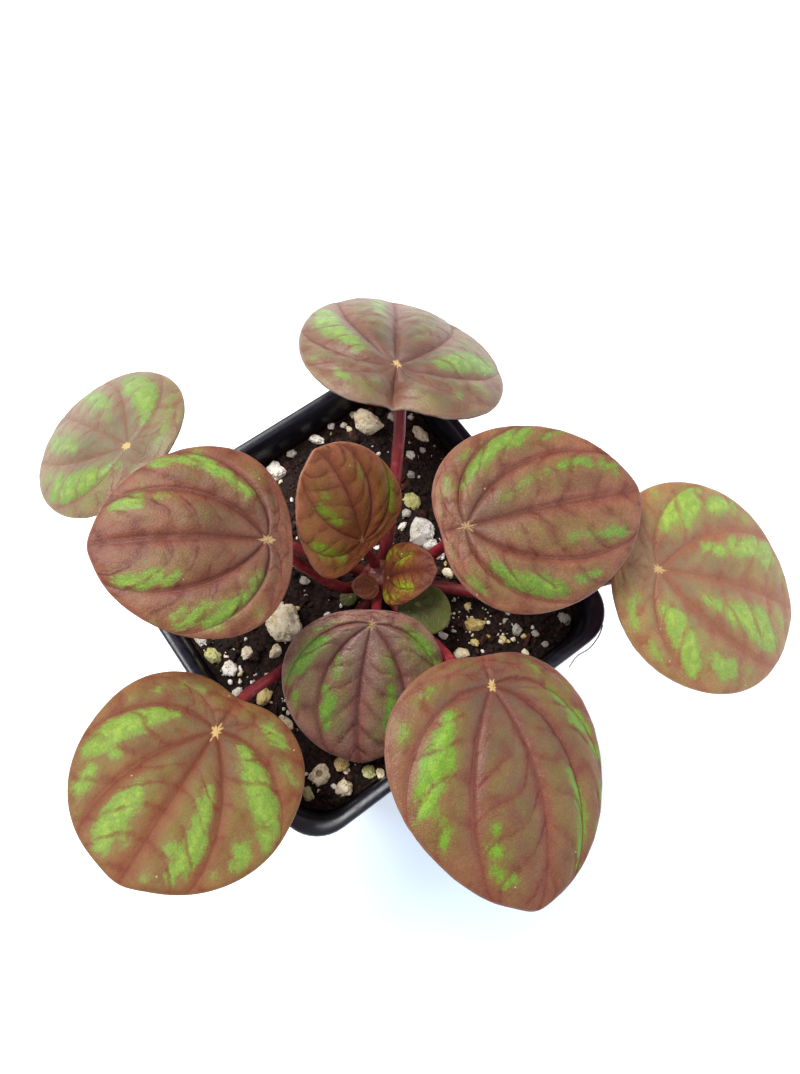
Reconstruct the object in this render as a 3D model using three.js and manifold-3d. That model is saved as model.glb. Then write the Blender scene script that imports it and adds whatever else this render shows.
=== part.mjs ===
// Potted peperomia: quilted shield-shaped leaves on crimson petioles round a short crown,
// in a square plastic nursery pot filled with dark mix and pumice.
// Millimetres, +Z up, origin at the middle of the pot's flat underside, sides along X and Y.
import * as THREE from 'three';
import { mergeVertices } from 'three/addons/utils/BufferGeometryUtils.js';
import Module from 'manifold-3d';

const wasm = await Module();
wasm.setup();

// Fits
const seatGap = 0.3; // clearance between pieces that rest on each other
const soilGap = 0.35; // soil to pot wall

// Pot
const potHeight = 86;
const rimHalf = 44.5; // 3.5 inch pot, measured over the lip
const baseHalf = 32;
const lipOut = 1.4;
const lipTall = 2.8;
const wallThick = 1.3;
const floorThick = 1.8;
const cornerShare = 0.216; // corner radius as a share of the half width
const cornerSteps = 2;
const drainRadius = 4;
const drainAt = 18;

// Soil
const soilTop = 77;
const soilSpokes = 40;
const soilRings = 7;
const moundHeight = 0.8;
const moundSpread = 13;

// Crown, the short stem that all the leaves grow from
const crownX = 5;
const crownY = -3;
const crownProfile = [[0, 68], [2.4, 68], [3.6, 74], [4.4, 79], [4.8, 82.5], [3.8, 85], [2, 86.2], [0, 86.4]];
const crownSides = 14;
const footSink = 1.1; // how far a petiole's foot sits inside the crown's surface

// Blades
const bladeThick = 0.9;
const tipPoint = 0.8; // how far the drawn-out tip stands past the oval
const tipSpread = 11; // degrees
const notchSpread = 14; // degrees
const neckLength = 7; // last stretch of a petiole, where it turns up to the blade

// Main veins, degrees from the midrib: where they leave the petiole and where they meet the edge
const openVeins = { atStar: [47, 112, 152], atEdge: [22, 60, 97] };
const domedVeins = { atStar: [56, 108, 152], atEdge: [13, 46, 86] };
const veinCurl = 0.75; // below 1 the veins bow outward and close in on the tip only near the edge

// Facets of a blade across each band from the midrib to the crease, and rings from the star to the edge
const grownSteps = [2, 3, 3, 5];
const youngSteps = [1, 2, 2, 3];
const sproutSteps = [1, 1, 1, 2];

// Each leaf: the star is the spot where the petiole meets the blade. Heading is the way the tip points,
// pitch is how far it points down, roll tips the left side up. Back is the star's distance to the notch.
// Droop is how far the tip, the back and the sides hang below the star's plane. Lean widens one side.
// Sway is how many degrees the midrib leaves the star to the left of the tip.
// The foot is the petiole's place on the crown, a direction and a height, and via is its route.
const leaves = [
  {
    name: 'leaf_1', star: [31.5, 28.5, 112], heading: 52, pitch: 25, roll: 10,
    length: 56.4, width: 49, egg: 0.07, back: 15.4, droop: [9, 1.9, 4.3], lean: -0.09, sway: 0, lobe: 0.04,
    notch: 0.2, quilt: 1.1, veins: openVeins, rings: 5, steps: grownSteps,
    foot: [55, 82], via: [[10, 2, 88], [27.5, 21.5, 104]], girth: [3.2, 2.7],
  },
  {
    name: 'leaf_2', star: [19, -12.5, 117], heading: -21, pitch: 0, roll: 5,
    length: 45.1, width: 40.5, egg: 0.12, back: 6.5, droop: [5, 0.3, 2.9], lean: -0.01, sway: 0, lobe: 0.02,
    notch: 0.18, quilt: 1.5, veins: domedVeins, rings: 6, steps: grownSteps,
    foot: [-8, 83], via: [[15.5, -7, 90], [18.5, -8.8, 98]], girth: [3.1, 2.4],
  },
  {
    name: 'leaf_3', star: [52.5, -41.5, 101], heading: -41, pitch: 14, roll: 2,
    length: 54, width: 49, egg: 0.03, back: 11.5, droop: [11, 0.8, 3.2], lean: -0.01, sway: 3, lobe: 0.02,
    notch: 0.03, quilt: 0.9, veins: openVeins, rings: 5, steps: grownSteps,
    foot: [-40, 80], via: [[19, -16.5, 81.5], [31, -30.5, 86], [44, -35.5, 92]], girth: [3.2, 2.5],
  },
  {
    name: 'leaf_4', star: [5.5, -40.5, 106], heading: -111, pitch: -8, roll: -20,
    length: 49.1, width: 47.5, egg: 0.16, back: 8.1, droop: [9.6, 0.3, 3.9], lean: -0.03, sway: 22, lobe: 0.02,
    notch: 0.16, quilt: 1.2, veins: domedVeins, rings: 6, steps: grownSteps,
    foot: [-100, 80.2], via: [[4, -15, 82.4], [5, -27, 88]], girth: [3.2, 2.5],
  },
  {
    name: 'leaf_5', star: [-6, -14.5, 99], heading: -128, pitch: 18, roll: -10,
    length: 34.2, width: 35.5, egg: 0.13, back: 3.6, droop: [6.5, 0.2, 2.7], lean: -0.04, sway: -12, lobe: 0.01,
    notch: 0.12, quilt: 1.4, veins: domedVeins, rings: 6, steps: grownSteps,
    foot: [-145, 82.6], via: [[-2, -10.5, 88]], girth: [2.9, 2.1],
  },
  {
    name: 'leaf_6', star: [-45, -14.5, 101], heading: -154, pitch: -12, roll: 1,
    length: 42, width: 46, egg: 0.02, back: 9.9, droop: [0.4, 0.5, 2.7], lean: -0.03, sway: 0, lobe: 0.08,
    notch: 0.16, quilt: 1, veins: openVeins, rings: 5, steps: grownSteps,
    foot: [-168, 79.8], via: [[-2.8, -6.2, 81.2], [-9, -7.8, 83], [-27, -9.5, 90], [-37, -10.7, 95]], girth: [3, 2.4],
  },
  {
    name: 'leaf_7', star: [-15.5, 8.5, 117], heading: 150, pitch: -20, roll: -3,
    length: 38.5, width: 39.5, egg: 0.14, back: 5.6, droop: [7, 0.2, 1.8], lean: -0.03, sway: -3, lobe: 0.03,
    notch: 0.04, quilt: 1.3, veins: domedVeins, rings: 6, steps: grownSteps,
    foot: [150, 83.6], via: [[-3.5, -1.5, 86], [-12, 6.3, 103]], girth: [3, 2.3],
  },
  {
    name: 'leaf_8', star: [-27.5, 54, 97], heading: 108, pitch: 23, roll: -6,
    length: 46.5, width: 42, egg: 0.06, back: 11.5, droop: [7.5, 1.1, 3.2], lean: 0.02, sway: 0, lobe: 0.01,
    notch: 0.03, quilt: 0.8, veins: openVeins, rings: 5, steps: grownSteps,
    foot: [120, 80.6], via: [[-8.5, 13, 89.5]], girth: [2.9, 2.2],
  },
  {
    name: 'leaf_9', star: [3.5, 2.5, 99], heading: 94, pitch: -45, roll: 14,
    length: 28.5, width: 27.5, egg: 0.19, back: 3.7, droop: [-2.6, 0.1, -1.1], lean: -0.03, sway: -20, lobe: 0.11,
    notch: 0.1, quilt: 0.9, veins: domedVeins, rings: 5, steps: grownSteps,
    foot: [88, 84.8], via: [], girth: [2.2, 1.8],
  },
  {
    name: 'leaf_10', star: [4.5, -6, 91], heading: -41, pitch: -54, roll: 2,
    length: 15.2, width: 14.5, egg: 0.08, back: 2.1, droop: [3, 0.1, -0.9], lean: 0.01, sway: 6, lobe: 0.05,
    notch: 0.2, quilt: 0.7, veins: domedVeins, rings: 4, steps: youngSteps,
    foot: [-80, 85], via: [], girth: [1.7, 1.3],
  },
  {
    name: 'leaf_11', star: [1.5, -5.5, 88.5], heading: 152, pitch: -30, roll: 0,
    length: 6.5, width: 6, egg: 0.07, back: 0.8, droop: [0.8, 0, 0.3], lean: 0, sway: 0, lobe: 0.03,
    notch: 0.1, quilt: 0.2, veins: domedVeins, rings: 2, steps: youngSteps,
    foot: [-135, 84.8], via: [], girth: [1.1, 0.9],
  },
];

// Plain green sprouts on stalks of their own, which stand in the soil
const sprouts = [
  {
    name: 'sprout_1', star: [6.6, -15, 90.2], heading: -70, pitch: 4, roll: 6,
    length: 12.2, width: 11.6, egg: 0.04, back: 4.2, droop: [0.6, 0.3, 0.5], lean: 0, sway: 0, lobe: 0,
    notch: 0, quilt: 0.25, veins: openVeins, rings: 3, steps: youngSteps,
    foot: [9.5, -17], depth: 3.5, girth: [1.3, 1],
  },
  {
    name: 'sprout_2', star: [-3.6, -2.2, 80.6], heading: 170, pitch: 0, roll: 0,
    length: 4.2, width: 4, egg: 0, back: 1.5, droop: [0.2, 0.1, 0.1], lean: 0, sway: 0, lobe: 0,
    notch: 0, quilt: 0, veins: openVeins, rings: 2, steps: sproutSteps,
    foot: [-3.6, -2.2], depth: 2.5, girth: [0.9, 0.8],
  },
];

// Stones: place, size along their own X, Y and Z, turn in degrees and colour
const stones = [
  { at: [27.5, 35], size: [6.4, 8.2, 6.4], turn: 10, tint: 'cream' },
  { at: [13.6, 38], size: [2.8, 4.6, 2.8], turn: 40, tint: 'white' },
  { at: [0.5, 37], size: [5.6, 5.2, 4.6], turn: 0, tint: 'white' },
  { at: [37, 23.8], size: [3, 6.2, 3.6], turn: 10, tint: 'cream' },
  { at: [31.5, 20.5], size: [2.4, 4, 2.6], turn: 30, tint: 'white' },
  { at: [24, 10], size: [4, 4.6, 3.6], turn: 0, tint: 'moss' },
  { at: [21, 2], size: [8.8, 6.6, 6], turn: 25, tint: 'white' },
  { at: [21.5, -5], size: [4.2, 2.8, 2.8], turn: 40, tint: 'white' },
  { at: [20, -10.6], size: [2.6, 3.8, 2.8], turn: 20, tint: 'cream' },
  { at: [-20, 2.5], size: [9.4, 8.6, 7.6], turn: 50, tint: 'cream' },
  { at: [-25.5, -2.2], size: [4, 3.2, 3], turn: 20, tint: 'cream' },
  { at: [-38.2, 11.8], size: [2.6, 6.8, 3], turn: -5, tint: 'white' },
  { at: [-38, 5.2], size: [3.8, 4.6, 3.4], turn: 15, tint: 'moss' },
  { at: [-36.4, 0.6], size: [3.6, 3.8, 3.2], turn: 0, tint: 'white' },
  { at: [-31, 1.6], size: [3.8, 3.2, 3], turn: 30, tint: 'cream' },
  { at: [-33.5, -9.4], size: [5, 4, 3.6], turn: 35, tint: 'tan' },
  { at: [-38, -5], size: [3.4, 3, 2.8], turn: 60, tint: 'white' },
  { at: [-32.4, -17.4], size: [2.2, 4.8, 2.6], turn: 10, tint: 'cream' },
  { at: [-32.8, -31.8], size: [4.6, 4.2, 3.8], turn: 0, tint: 'cream' },
  { at: [-27.2, -32.6], size: [4.2, 3.4, 3.2], turn: 30, tint: 'tan' },
  { at: [-30, -37.2], size: [4.4, 4.4, 3.6], turn: 15, tint: 'cream' },
  { at: [-23.4, -37.8], size: [3, 3.6, 2.8], turn: 0, tint: 'moss' },
  { at: [17.4, -24.6], size: [6, 3.6, 3.2], turn: -30, tint: 'tan' },
  { at: [10.2, -28.4], size: [3.8, 2.6, 2.6], turn: -20, tint: 'cream' },
  { at: [24.8, -31.8], size: [3.2, 3.2, 2.8], turn: 0, tint: 'grey' },
  { at: [36, -36.2], size: [2.6, 3.8, 2.8], turn: 0, tint: 'grey' },
];
const stoneLift = 0.14; // middle of a stone above the soil, as a share of its height
const roundStone = 4.2; // stones this wide get more facets

// Materials
const potPlastic = new THREE.MeshStandardMaterial({ color: 0x14161c, roughness: 0.42, metalness: 0 });
const soilMix = new THREE.MeshStandardMaterial({ color: 0x2a1c15, roughness: 0.95, metalness: 0 });
const crownSkin = new THREE.MeshStandardMaterial({ color: 0x6a1f22, roughness: 0.55, metalness: 0 });
const petioleSkin = new THREE.MeshStandardMaterial({ color: 0x8e2530, roughness: 0.5, metalness: 0 });
const sproutSkin = new THREE.MeshStandardMaterial({ color: 0x6f7a3a, roughness: 0.55, metalness: 0 });
const bladeSkin = new THREE.MeshStandardMaterial({ color: 0x7b4f40, roughness: 0.5, metalness: 0 });
const youngSkin = new THREE.MeshStandardMaterial({ color: 0x8a3f2c, roughness: 0.45, metalness: 0 });
const sproutLeaf = new THREE.MeshStandardMaterial({ color: 0x6d8a2c, roughness: 0.5, metalness: 0 });
const stoneTints = {
  cream: new THREE.MeshStandardMaterial({ color: 0xd9cda8, roughness: 0.95, metalness: 0 }),
  white: new THREE.MeshStandardMaterial({ color: 0xe2ded2, roughness: 0.95, metalness: 0 }),
  grey: new THREE.MeshStandardMaterial({ color: 0x9c9c94, roughness: 0.95, metalness: 0 }),
  moss: new THREE.MeshStandardMaterial({ color: 0xb5b77a, roughness: 0.95, metalness: 0 }),
  tan: new THREE.MeshStandardMaterial({ color: 0xc9b57e, roughness: 0.95, metalness: 0 }),
};

const rad = THREE.MathUtils.degToRad;
const lerp = THREE.MathUtils.lerp;
const plant = new THREE.Group();

function addPiece(name, geometry, material) {
  const mesh = new THREE.Mesh(geometry, material);
  mesh.name = name;
  plant.add(mesh);
}

// Keeps only the positions, with shared corners merged, so that the surface is closed
function weld(geometry) {
  geometry.deleteAttribute('normal');
  geometry.deleteAttribute('uv');
  return mergeVertices(geometry, 1e-4);
}

// Moves every vertex of a geometry by a function that changes the point it is given
function reshape(geometry, move) {
  const position = geometry.attributes.position;
  const point = new THREE.Vector3();
  for (let i = 0; i < position.count; i += 1) {
    point.fromBufferAttribute(position, i);
    move(point, i);
    position.setXYZ(i, point.x, point.y, point.z);
  }
  return geometry;
}

function toSolid(geometry) {
  const mesh = new wasm.Mesh({
    numProp: 3,
    vertProperties: new Float32Array(geometry.attributes.position.array),
    triVerts: new Uint32Array(geometry.index.array),
  });
  return new wasm.Manifold(mesh);
}

function toGeometry(solid) {
  const mesh = solid.getMesh();
  const geometry = new THREE.BufferGeometry();
  geometry.setAttribute('position', new THREE.BufferAttribute(new Float32Array(mesh.vertProperties), 3));
  geometry.setIndex(new THREE.BufferAttribute(new Uint32Array(mesh.triVerts), 1));
  return geometry;
}

// A square with rounded corners, drawn at half width 1
function roundedSquare() {
  const flat = 1 - cornerShare;
  const shape = new THREE.Shape();
  shape.absarc(flat, flat, cornerShare, 0, Math.PI / 2, false);
  shape.absarc(-flat, flat, cornerShare, Math.PI / 2, Math.PI, false);
  shape.absarc(-flat, -flat, cornerShare, Math.PI, 1.5 * Math.PI, false);
  shape.absarc(flat, -flat, cornerShare, 1.5 * Math.PI, 2 * Math.PI, false);
  return shape;
}

// A rounded square prism through levels of [height, half width]
function squareLoft(levels) {
  const steps = levels.length - 1;
  const options = { depth: 1, steps, bevelEnabled: false, curveSegments: cornerSteps };
  const geometry = weld(new THREE.ExtrudeGeometry(roundedSquare(), options));
  return reshape(geometry, (point) => {
    const [height, half] = levels[Math.round(point.z * steps)];
    point.set(point.x * half, point.y * half, height);
  });
}

// Outside half width of the pot's wall, without the lip
function wallHalf(z) {
  return lerp(baseHalf, rimHalf - lipOut, z / potHeight);
}

function potGeometry() {
  const lipLow = potHeight - lipTall;
  const outside = toSolid(squareLoft([
    [0, wallHalf(0) - 0.5],
    [0.8, wallHalf(0.8)],
    [lipLow, wallHalf(lipLow)],
    [lipLow + 0.5, rimHalf - 0.3],
    [lipLow + 1, rimHalf],
    [potHeight - 0.6, rimHalf],
    [potHeight, rimHalf - 0.5],
  ]));
  const inside = toSolid(squareLoft([
    [floorThick, wallHalf(floorThick) - wallThick],
    [potHeight - 0.6, wallHalf(potHeight) - wallThick],
    [potHeight + 1, wallHalf(potHeight) - wallThick + 0.6],
  ]));
  let pot = outside.subtract(inside);
  for (const side of [[1, 1], [-1, 1], [-1, -1], [1, -1]]) {
    const drain = new THREE.CylinderGeometry(drainRadius, drainRadius, 4 * floorThick, 16);
    drain.rotateX(Math.PI / 2);
    drain.translate(side[0] * drainAt, side[1] * drainAt, 0);
    pot = pot.subtract(toSolid(weld(drain)));
  }
  return toGeometry(pot);
}

// Height of the soil's rough top
function soilHeight(x, y) {
  const away = Math.hypot(x - crownX, y - crownY);
  const mound = moundHeight * Math.exp(-((away / moundSpread) ** 2));
  const swell = 0.5 * Math.sin(0.31 * x + 1.3) * Math.sin(0.27 * y + 0.4);
  const lumps = 0.3 * Math.sin(0.83 * x + 0.41 * y) + 0.25 * Math.sin(0.97 * y - 0.37 * x + 2);
  return soilTop + mound + swell + lumps;
}

// Distance from the middle to the edge of a rounded square of half width 1, in one direction
function squareReach(angle) {
  const across = Math.max(Math.abs(Math.cos(angle)), Math.abs(Math.sin(angle)));
  const along = Math.min(Math.abs(Math.cos(angle)), Math.abs(Math.sin(angle)));
  const flat = 1 - cornerShare;
  if (along / across <= flat) return 1 / across;
  const middle = flat * (across + along);
  return middle + Math.sqrt(middle ** 2 - 2 * flat ** 2 + cornerShare ** 2);
}

function soilSolid() {
  const low = floorThick + seatGap;
  const profile = [new THREE.Vector2(0, 0), new THREE.Vector2(1, 0)];
  for (let ring = soilRings; ring >= 0; ring -= 1) {
    profile.push(new THREE.Vector2(ring / soilRings, 1));
  }
  const geometry = weld(new THREE.LatheGeometry(profile, soilSpokes));
  return toSolid(reshape(geometry, (point) => {
    const top = point.y > 0.5;
    const share = Math.hypot(point.x, point.z);
    const angle = Math.atan2(-point.z, point.x) || 0;
    const half = wallHalf(top ? soilTop : low) - wallThick - soilGap;
    const reach = half * squareReach(angle) * share;
    const x = reach * Math.cos(angle);
    const y = reach * Math.sin(angle);
    point.set(x, y, top ? soilHeight(x, y) : low);
  }));
}

// A lumpy stone, or with a clearance the socket that it lies in
function stoneGeometry(stone, clearance) {
  const [long, wide, tall] = stone.size;
  const round = Math.max(long, wide) >= roundStone;
  const ball = round ? new THREE.IcosahedronGeometry(1, 1) : new THREE.DodecahedronGeometry(1, 0);
  const seed = stone.at[0] * 1.7 + stone.at[1];
  const geometry = reshape(weld(ball), (point) => {
    const lump = Math.sin(2.3 * point.x + seed) * Math.sin(2.9 * point.y - seed) + Math.sin(3.7 * point.z + seed);
    const size = 1 + 0.07 * lump;
    point.x *= size * (long / 2 + clearance);
    point.y *= size * (wide / 2 + clearance);
    point.z *= size * (tall / 2 + clearance);
  });
  geometry.rotateZ(rad(stone.turn));
  const [x, y] = stone.at;
  geometry.translate(x, y, soilHeight(x, y) + stoneLift * tall);
  return geometry;
}

function crownSolid(clearance) {
  const profile = crownProfile.map(([radius, z]) => {
    const grown = radius > 0 ? radius + clearance : 0;
    return new THREE.Vector2(grown, z === crownProfile[0][1] ? z - clearance : z);
  });
  const geometry = new THREE.LatheGeometry(profile, crownSides);
  geometry.rotateX(Math.PI / 2);
  geometry.translate(crownX, crownY, 0);
  return toSolid(weld(geometry));
}

function crownRadius(z) {
  for (let i = 1; i < crownProfile.length; i += 1) {
    const [radius, high] = crownProfile[i];
    const [before, low] = crownProfile[i - 1];
    if (z <= high && high > low) return lerp(before, radius, (z - low) / (high - low));
  }
  return 0;
}

// Directions of a blade: toward the tip, toward its left side and out of its upper face
function bladeFrame(leaf) {
  const heading = rad(leaf.heading);
  const pitch = rad(leaf.pitch);
  const roll = rad(leaf.roll);
  const along = new THREE.Vector3(
    Math.cos(heading) * Math.cos(pitch),
    Math.sin(heading) * Math.cos(pitch),
    -Math.sin(pitch),
  );
  const level = new THREE.Vector3(-Math.sin(heading), Math.cos(heading), 0);
  const upright = new THREE.Vector3().crossVectors(along, level);
  const left = level.clone().multiplyScalar(Math.cos(roll)).addScaledVector(upright, Math.sin(roll));
  const up = new THREE.Vector3().crossVectors(along, left);
  return { along, left, up };
}

// Edge of the blade on its own plane, turn in radians round the oval's middle, 0 at the tip
function edgePoint(leaf, turn) {
  const ahead = Math.cos(turn);
  const degrees = Math.abs(THREE.MathUtils.radToDeg(turn));
  const swell = ahead < 0 ? 1 + leaf.lobe * Math.sin(2 * turn) ** 2 : 1;
  const tip = tipPoint * (leaf.length / 45) * Math.exp(-((degrees / tipSpread) ** 2));
  const cut = 1 - leaf.notch * Math.exp(-(((180 - degrees) / notchSpread) ** 2));
  const x = (leaf.length / 2) * ahead * swell + leaf.length / 2 - leaf.back + tip;
  const side = (leaf.width / 2) * Math.sin(turn) * (1 - leaf.egg * ahead) * swell;
  const y = side * (1 + leaf.lean * Math.sign(turn));
  return [x * cut, y * cut];
}

// Edge of the blade in a direction from the star, in radians from the midrib
function edgeToward(leaf, angle) {
  const side = Math.sign(angle);
  let low = 0;
  let high = Math.PI;
  for (let i = 0; i < 30; i += 1) {
    const middle = (low + high) / 2;
    const [x, y] = edgePoint(leaf, side * middle);
    if (Math.atan2(Math.abs(y), x) < Math.abs(angle)) low = middle;
    else high = middle;
  }
  return edgePoint(leaf, side * low);
}

// Direction of a lane between the veins. Lane 0 is the midrib, 1 to 3 are the side veins and 4 is the
// crease at the back. Lanes curl toward the tip on their way out.
function laneAngle(leaf, lane, out) {
  const place = Math.min(Math.abs(lane), 4);
  const index = Math.min(Math.floor(place), 3);
  const atEdge = [0, ...leaf.veins.atEdge, 180];
  const atStar = [0, ...leaf.veins.atStar, 180];
  const edge = lerp(atEdge[index], atEdge[index + 1], place - index);
  const star = lerp(atStar[index], atStar[index + 1], place - index);
  const inward = (1 - out) ** veinCurl;
  const sway = leaf.sway * (1 - place / 4) * inward;
  return rad(Math.sign(lane) * lerp(edge, star, inward) + sway);
}

// Height of the pillows between the sunken veins
function quiltHeight(leaf, lane, out) {
  const pillow = Math.abs(Math.sin(Math.PI * lane)) ** 0.8;
  const fade = 4 * out * (1 - out) + 0.25 * out ** 2;
  return leaf.quilt * pillow * fade;
}

// A point of the blade's upper face, lane -4 to 4 round it and out 0 to 1 from the star to the edge
function bladePoint(leaf, frame, lane, out) {
  const [edgeX, edgeY] = edgeToward(leaf, laneAngle(leaf, lane, out));
  const x = edgeX * out;
  const y = edgeY * out;
  const [tipDroop, backDroop, sideDroop] = leaf.droop;
  const reach = x > 0 ? leaf.length - leaf.back : leaf.back;
  const endDroop = (x > 0 ? tipDroop : backDroop) * (x / reach) ** 2;
  const sides = sideDroop * (y / (leaf.width / 2)) ** 2;
  const height = quiltHeight(leaf, lane, out) - endDroop - sides;
  return new THREE.Vector3(...leaf.star)
    .addScaledVector(frame.along, x)
    .addScaledVector(frame.left, y)
    .addScaledVector(frame.up, height);
}

// Lanes of a blade's spokes, from the crease round one side to the midrib and on round the other side
function spokeLanes(leaf) {
  const right = [];
  leaf.steps.forEach((steps, band) => {
    for (let step = 0; step < steps; step += 1) right.push(band + step / steps);
  });
  const left = right.slice(1).map((lane) => -lane).reverse();
  return [-4, ...left, ...right];
}

// A thin closed blade: rings round the star on its upper and under face, split into triangles alike
function bladeGeometry(leaf) {
  const frame = bladeFrame(leaf);
  const lanes = spokeLanes(leaf);
  const spokes = lanes.length;
  const faceSize = 1 + spokes * leaf.rings;
  const points = [];
  for (const depth of [0, -bladeThick]) {
    for (let i = 0; i < faceSize; i += 1) {
      const ring = i === 0 ? 0 : Math.floor((i - 1) / spokes) + 1;
      const lane = i === 0 ? 0 : lanes[(i - 1) % spokes];
      points.push(bladePoint(leaf, frame, lane, ring / leaf.rings).addScaledVector(frame.up, depth));
    }
  }
  const index = [];
  const place = (face, ring, spoke) => face * faceSize + 1 + (ring - 1) * spokes + (spoke % spokes);
  const addBoth = (a, b, c) => index.push(a, b, c, a + faceSize, c + faceSize, b + faceSize);
  for (let spoke = 0; spoke < spokes; spoke += 1) {
    addBoth(0, place(0, 1, spoke), place(0, 1, spoke + 1));
    for (let ring = 1; ring < leaf.rings; ring += 1) {
      const near = place(0, ring, spoke);
      const far = place(0, ring + 1, spoke);
      const nextNear = place(0, ring, spoke + 1);
      const nextFar = place(0, ring + 1, spoke + 1);
      addBoth(near, far, nextFar);
      addBoth(near, nextFar, nextNear);
    }
    const top = place(0, leaf.rings, spoke);
    const nextTop = place(0, leaf.rings, spoke + 1);
    const low = place(1, leaf.rings, spoke);
    const nextLow = place(1, leaf.rings, spoke + 1);
    index.push(top, low, nextLow, top, nextLow, nextTop);
  }
  return new THREE.BufferGeometry().setFromPoints(points).setIndex(index);
}

// A round tapering stem along a curve. Its upper end is cut flush with a plane that faces up.
function stemGeometry(curve, girth, up, sides, steps) {
  const frames = curve.computeFrenetFrames(steps, false);
  const top = curve.getPointAt(1);
  const geometry = weld(new THREE.CylinderGeometry(1, 1, 1, sides, steps));
  reshape(geometry, (point) => {
    const share = point.y + 0.5;
    const step = Math.round(share * steps);
    const radius = lerp(girth[0], girth[1], Math.sqrt(share)) / 2;
    const moved = curve.getPointAt(share)
      .addScaledVector(frames.binormals[step], point.x * radius)
      .addScaledVector(frames.normals[step], point.z * radius);
    if (step === steps) {
      const tangent = frames.tangents[step];
      const gap = top.clone().sub(moved).dot(up) / tangent.dot(up);
      moved.addScaledVector(tangent, gap);
    }
    point.copy(moved);
  });
  return geometry;
}

// Route of a stem from its foot to just under the star, turning up to the blade over its last stretch
function stemCurve(leaf, foot, via) {
  const { up } = bladeFrame(leaf);
  const end = new THREE.Vector3(...leaf.star).addScaledVector(up, -bladeThick - seatGap);
  const points = [foot, ...via.map((spot) => new THREE.Vector3(...spot))];
  const last = points[points.length - 1];
  const room = end.distanceTo(last);
  const turnIn = end.clone().sub(last).normalize().multiplyScalar(0.45).addScaledVector(up, 0.55).normalize();
  if (room > 2 * neckLength) points.push(end.clone().addScaledVector(turnIn, -neckLength));
  points.push(end);
  return new THREE.CatmullRomCurve3(points);
}

function petioleParts(leaf) {
  const { up } = bladeFrame(leaf);
  const [direction, z] = leaf.foot;
  const radius = Math.max(crownRadius(z) - footSink, 0);
  const outward = new THREE.Vector3(Math.cos(rad(direction)), Math.sin(rad(direction)), 0);
  const foot = new THREE.Vector3(crownX, crownY, z).addScaledVector(outward, radius);
  const curve = stemCurve(leaf, foot, leaf.via);
  const thick = leaf.girth[0] > 2;
  const petiole = stemGeometry(curve, leaf.girth, up, thick ? 8 : 6, leaf.via.length ? 9 : 5);
  // The socket in the crown follows the petiole's first stretch, with clearance round and below it
  const leaving = curve.getPointAt(Math.min(4 / curve.getLength(), 0.6)).sub(foot).normalize();
  const start = foot.clone().addScaledVector(leaving, -seatGap);
  const away = foot.clone().addScaledVector(leaving, 7);
  const wide = leaf.girth[0] + 2 * seatGap + 0.3;
  const socket = stemGeometry(new THREE.LineCurve3(start, away), [wide, wide], leaving, 8, 1);
  return { petiole, socket };
}

function sproutParts(sprout) {
  const { up } = bladeFrame(sprout);
  const [x, y] = sprout.foot;
  const surface = soilHeight(x, y);
  const foot = new THREE.Vector3(x, y, surface - sprout.depth);
  const stalk = stemGeometry(stemCurve(sprout, foot, [[x, y, surface]]), sprout.girth, up, 6, 4);
  const holeDepth = sprout.depth + seatGap;
  const hole = new THREE.CylinderGeometry(sprout.girth[0], sprout.girth[0], 2 * holeDepth, 8);
  hole.rotateX(Math.PI / 2);
  hole.translate(x, y, surface);
  return { stalk, hole: toSolid(weld(hole)) };
}

let crown = crownSolid(0);
for (const leaf of leaves) {
  const { petiole, socket } = petioleParts(leaf);
  crown = crown.subtract(toSolid(socket));
  addPiece(`${leaf.name}_petiole`, petiole, petioleSkin);
  addPiece(`${leaf.name}_blade`, bladeGeometry(leaf), leaf.width < 30 ? youngSkin : bladeSkin);
}
addPiece('crown', toGeometry(crown), crownSkin);

let soil = soilSolid().subtract(crownSolid(seatGap));
for (const sprout of sprouts) {
  const { stalk, hole } = sproutParts(sprout);
  soil = soil.subtract(hole);
  addPiece(`${sprout.name}_stalk`, stalk, sproutSkin);
  addPiece(`${sprout.name}_blade`, bladeGeometry(sprout), sproutLeaf);
}
stones.forEach((stone, i) => {
  soil = soil.subtract(toSolid(stoneGeometry(stone, seatGap)));
  addPiece(`stone_${i + 1}`, stoneGeometry(stone, 0), stoneTints[stone.tint]);
});
addPiece('soil', toGeometry(soil), soilMix);
addPiece('pot', potGeometry(), potPlastic);

export default plant;
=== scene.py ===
import math
import random

import bmesh
import bpy
import numpy as np
from bmesh.types import BMEdge, BMFace, BMVert
from mathutils import Matrix, Vector, noise


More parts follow.
